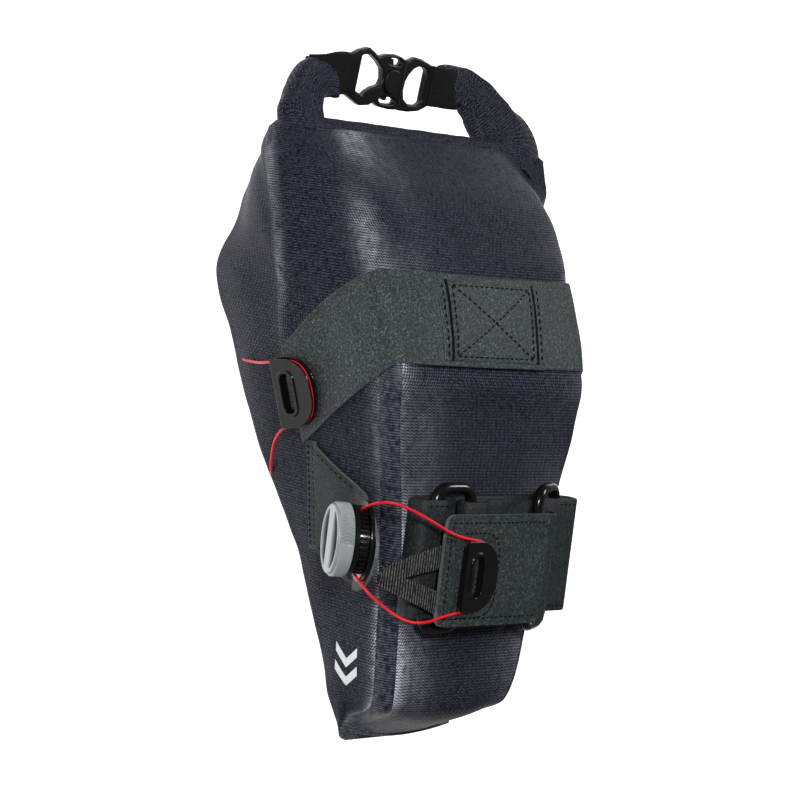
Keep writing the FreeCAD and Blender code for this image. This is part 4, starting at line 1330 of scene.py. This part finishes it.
def make_fins(prefix, place):
    """Small upright fins round the dial's cup, left out at the two lace holes."""
    verts, faces = [], []
    count = 40
    for i in range(count):
        angle = 2 * math.pi * (i + 0.5) / count
        degrees = math.degrees(angle)
        if degrees < 24 or degrees > 350 or 156 < degrees < 190:
            continue
        out = V(math.cos(angle), math.sin(angle), 0)
        along = V(-out.y, out.x, 0)
        base = len(verts)
        for r, half, low, high in ((13.3, 0.62, 1.5, 5.2), (14.7, 0.42, 1.8, 4.8)):
            for s, h in ((-1, low), (1, low), (1, high), (-1, high)):
                verts.append((out * r + along * (s * half) + V(0, 0, h)) * MM)
        faces += [tuple(base + k for k in f) for f in
                  ((4, 5, 6, 7), (0, 1, 5, 4), (1, 2, 6, 5), (2, 3, 7, 6), (3, 0, 4, 7))]
    made = bare_solid(prefix + "_fins", verts, faces, GLOSS, 20.0)
    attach(moved(made, place), "root")


def dress(node, material, bevel):
    """A CAD node that shows as it is: its material and softened edges."""
    piece = bpy.data.objects[node]
    piece.data.materials.clear()
    piece.data.materials.append(material)
    if bevel:
        weld = piece.modifiers.new("weld", "WELD")
        weld.merge_threshold = 0.00001
        edges = piece.modifiers.new("edges", "BEVEL")
        edges.width = bevel * MM
        edges.segments = 3
        edges.limit_method = "ANGLE"
        edges.angle_limit = math.radians(35)
        edges.harden_normals = True


for prefix, place, body in (("side_dial", SIDE_DIAL, "side_dial_knob"),
                            ("under_dial", UNDER_DIAL, "under_dial_knob")):
    make_knob(prefix, place, body)
    make_fins(prefix, place)
    for name, material, slot, bevel in (("_base", GLOSS, "dial_housing", 0.35),
                                        ("_ratchet_ring", GLOSS, "dial_housing", 0.0),
                                        ("_spool", INNER, "dial_inner", 0.2),
                                        ("_pawl_disc", INNER, "dial_inner", 0.2),
                                        ("_stem", STEEL, "dial_stem", 0.2)):
        dress(prefix + name, material, bevel)
for node in ("wing_guide_near", "wing_guide_far", "flap_guide"):
    dress(node, GLOSS, 0.35)
dress("buckle_male_prongs", SATIN, 0.3)
dress("top_stiffener", INNER, 0.2)
dress("roll_stiffener", INNER, 0.2)


# ---- rail strap and its rings
RING_CENTRE_X, RING_HALF_LENGTH, RING_CORNER, RING_WIRE = 2.5, 30.0, 8.0, 5.0
FLAP_LOW_X, FLAP_HIGH_X, FLAP_EDGE_Y, FLAP_TOP, FLAP_THICKNESS = -18.0, 29.5, -36.0, 18.7, 1.75
FLAP_THREAD = 1.8                        # height of the flap's stitches over its underside
BEND_Y, BEND_Z, BEND_RADIUS = 28.0, 12.1, 5.7


def make_ring(name, bars):
    (y0, z0), (y1, z1) = bars
    corners = []
    for x, (y, z) in ((-1, bars[0]), (1, bars[0]), (1, bars[1]), (-1, bars[1])):
        corners.append(V(RING_CENTRE_X + x * RING_HALF_LENGTH, y, z))
    path = rounded(corners, RING_CORNER, 10, closed=True)
    normal = V(0, -(z1 - z0), y1 - y0).normalized()
    made = sweep(name + "_visual", path, circle(RING_WIRE / 2, 20), normal,
                 GLOSS, closed=True)
    stand_in(made, "ring_plastic", name, name)


make_ring("ring_near", ((-34.0, 7.0), (-12.0, 7.0)))
make_ring("ring_far", ((22.5, 14.0), (43.0, 5.2)))


def strap(name, profile, radius, thickness, low, high):
    """A strap folded along a profile of (y, z), between two edges along X."""
    path = evenly(rounded([V(0, y, z) for y, z in profile], radius, 8), 1.0)
    return sweep(name, path, strap_profile(low, high, thickness), X_AXIS, SHADED_LAMINATE)


base = strap("rail_base", [(-21.0, 3.0), (-25.5, 3.0), (-31.0, 10.9), (-44.3, 10.9), (-44.3, 1.25),
                           (54.2, 1.25), (54.2, 9.7), (39.5, 9.7), (33.5, 3.1), (29.5, 3.1)],
             4.2, 1.6, -23.0, 27.0)
stand_in(base, "band_laminate", "root", "rail_base_strap")
inner = strap("rail_inner", [(8.0, 5.4), (0.0, 5.4), (-7.0, 10.9), (-17.3, 10.9), (-17.3, 3.3),
                             (10.0, 3.4), (27.9, 6.4)], 3.8, 1.6, -22.0, 27.0)
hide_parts("rail_strap_inner")
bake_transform(inner)

bend_path = [V(0, 27.4, BEND_Z - BEND_RADIUS)]
for step in range(0, 25):
    angle = math.radians(-90 + 180 * step / 24)
    bend_path.append(V(0, BEND_Y + BEND_RADIUS * math.cos(angle),
                       BEND_Z + BEND_RADIUS * math.sin(angle)))
bend_path.append(V(0, 25.8, BEND_Z + BEND_RADIUS))
bend_profile = strap_profile(FLAP_LOW_X, FLAP_HIGH_X, 1.7, 20)
bend = sweep("rail_bend", bend_path, bend_profile, X_AXIS, SHADED_LAMINATE)
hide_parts("rail_strap_bend")
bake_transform(bend)


def flap_point(share, y, lift=0.0):
    """A point of the flap, whose free corners are rounded and whose free edge droops a little."""
    corner = 4.5
    past = max(0.0, corner - (y - FLAP_EDGE_Y))
    inset = corner - math.sqrt(max(0.0, corner * corner - past * past))
    low, high = FLAP_LOW_X + inset, FLAP_HIGH_X - inset
    droop = 0.9 * smooth(-y, 22.0, 36.0) + 0.25 * noise.noise(V(share * 3, y / 12, 1.0))
    return V(mix(low, high, share), y, FLAP_TOP - FLAP_THICKNESS - droop + lift)


flap_ys = steps(26.5, -31.5, 38) + [-32.5, -33.4, -34.2, -34.9, -35.4, -35.8, FLAP_EDGE_Y]
flap_rows = [[flap_point(i / 30, y) for y in flap_ys] for i in range(31)]
flap = grid("rail_flap", flap_rows, FLAP_LAMINATE)
thicken(flap, FLAP_THICKNESS, EDGE, 0.35)
stand_in(flap, "band_laminate", "strap_flap", "rail_strap_flap")
flap_lines = []
for share in (0.072, 0.928):
    flap_lines.append([(flap_point(share, y, FLAP_THREAD), Z_AXIS) for y in steps(24.0, -32.5, 32)])
flap_lines.append([(flap_point(share, -32.6, FLAP_THREAD), Z_AXIS)
                   for share in steps(0.08, 0.92, 20)])
guide_edge = [V(-10.2, -26.0, 0), V(-10.2, -3.0, 0), V(25.7, -3.0, 0), V(25.7, -26.0, 0)]
guide_line = []
for p in evenly(rounded(guide_edge, 14.0, 8), 1.5):
    share = (p.x - FLAP_LOW_X) / (FLAP_HIGH_X - FLAP_LOW_X)
    guide_line.append((flap_point(share, p.y, FLAP_THREAD), Z_AXIS))
flap_lines.append(guide_line)
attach(stitches("flap_stitches", flap_lines, 2.7, 1.9, 0.3), "strap_flap")


def base_line(x, ys, z):
    return [(V(x, y, z), Z_AXIS) for y in ys]


base_lines = [base_line(x, steps(-29.5, -42.0, 6), 11.75) for x in (-20.5, 24.5)]
base_lines += [base_line(x, steps(41.0, 52.0, 6), 10.55) for x in (-20.5, 24.5)]
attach(stitches("rail_base_stitches", base_lines, 2.7, 1.9, 0.3), "root")


# The pull loop: a strip of ribbed webbing folded at its tip, its two legs sewn under the flap.
PULL_ROOT = V(0.0, -31.0, 15.6)
PULL_DOWN = V(0.0, -0.985, -0.17)
PULL_UP = X_AXIS.cross(PULL_DOWN) * -1.0


PULL_LENGTH, PULL_CORNER = 34.0, 4.0


def pull_leg(name, root, tip, layer):
    """One leg, from its two edges at the root to those at the tip, its outer corner rounded."""
    rows = []
    for t in steps(0.0, PULL_LENGTH, 34):
        past = max(0.0, t - (PULL_LENGTH - PULL_CORNER))
        inset = PULL_CORNER - math.sqrt(PULL_CORNER ** 2 - past * past)
        low = root[0] + (tip[0] - root[0]) * t / PULL_LENGTH + inset
        high = root[1] + (tip[1] - root[1]) * t / PULL_LENGTH - inset * 0.3
        bow = 1.4 * math.sin(math.pi * t / PULL_LENGTH)
        lift = layer * smooth(t, 18.0, 30.0) + bow
        rows.append([PULL_ROOT + PULL_DOWN * t + X_AXIS * mix(low, high, share) + PULL_UP * lift
                     for share in steps(0.0, 1.0, 10)])
    return thicken(grid(name, rows, LOOP_WEBBING), 1.1, None, 0.3, 0.0)


legs = [pull_leg("pull_leg_a", (-6.5, 4.0), (4.0, 11.0), 0.7),
        pull_leg("pull_leg_b", (15.8, 26.0), (5.0, 12.4), -0.7)]
pull = joined("pull_loop_visual", legs)
stand_in(pull, "webbing", "strap_flap", "pull_loop")
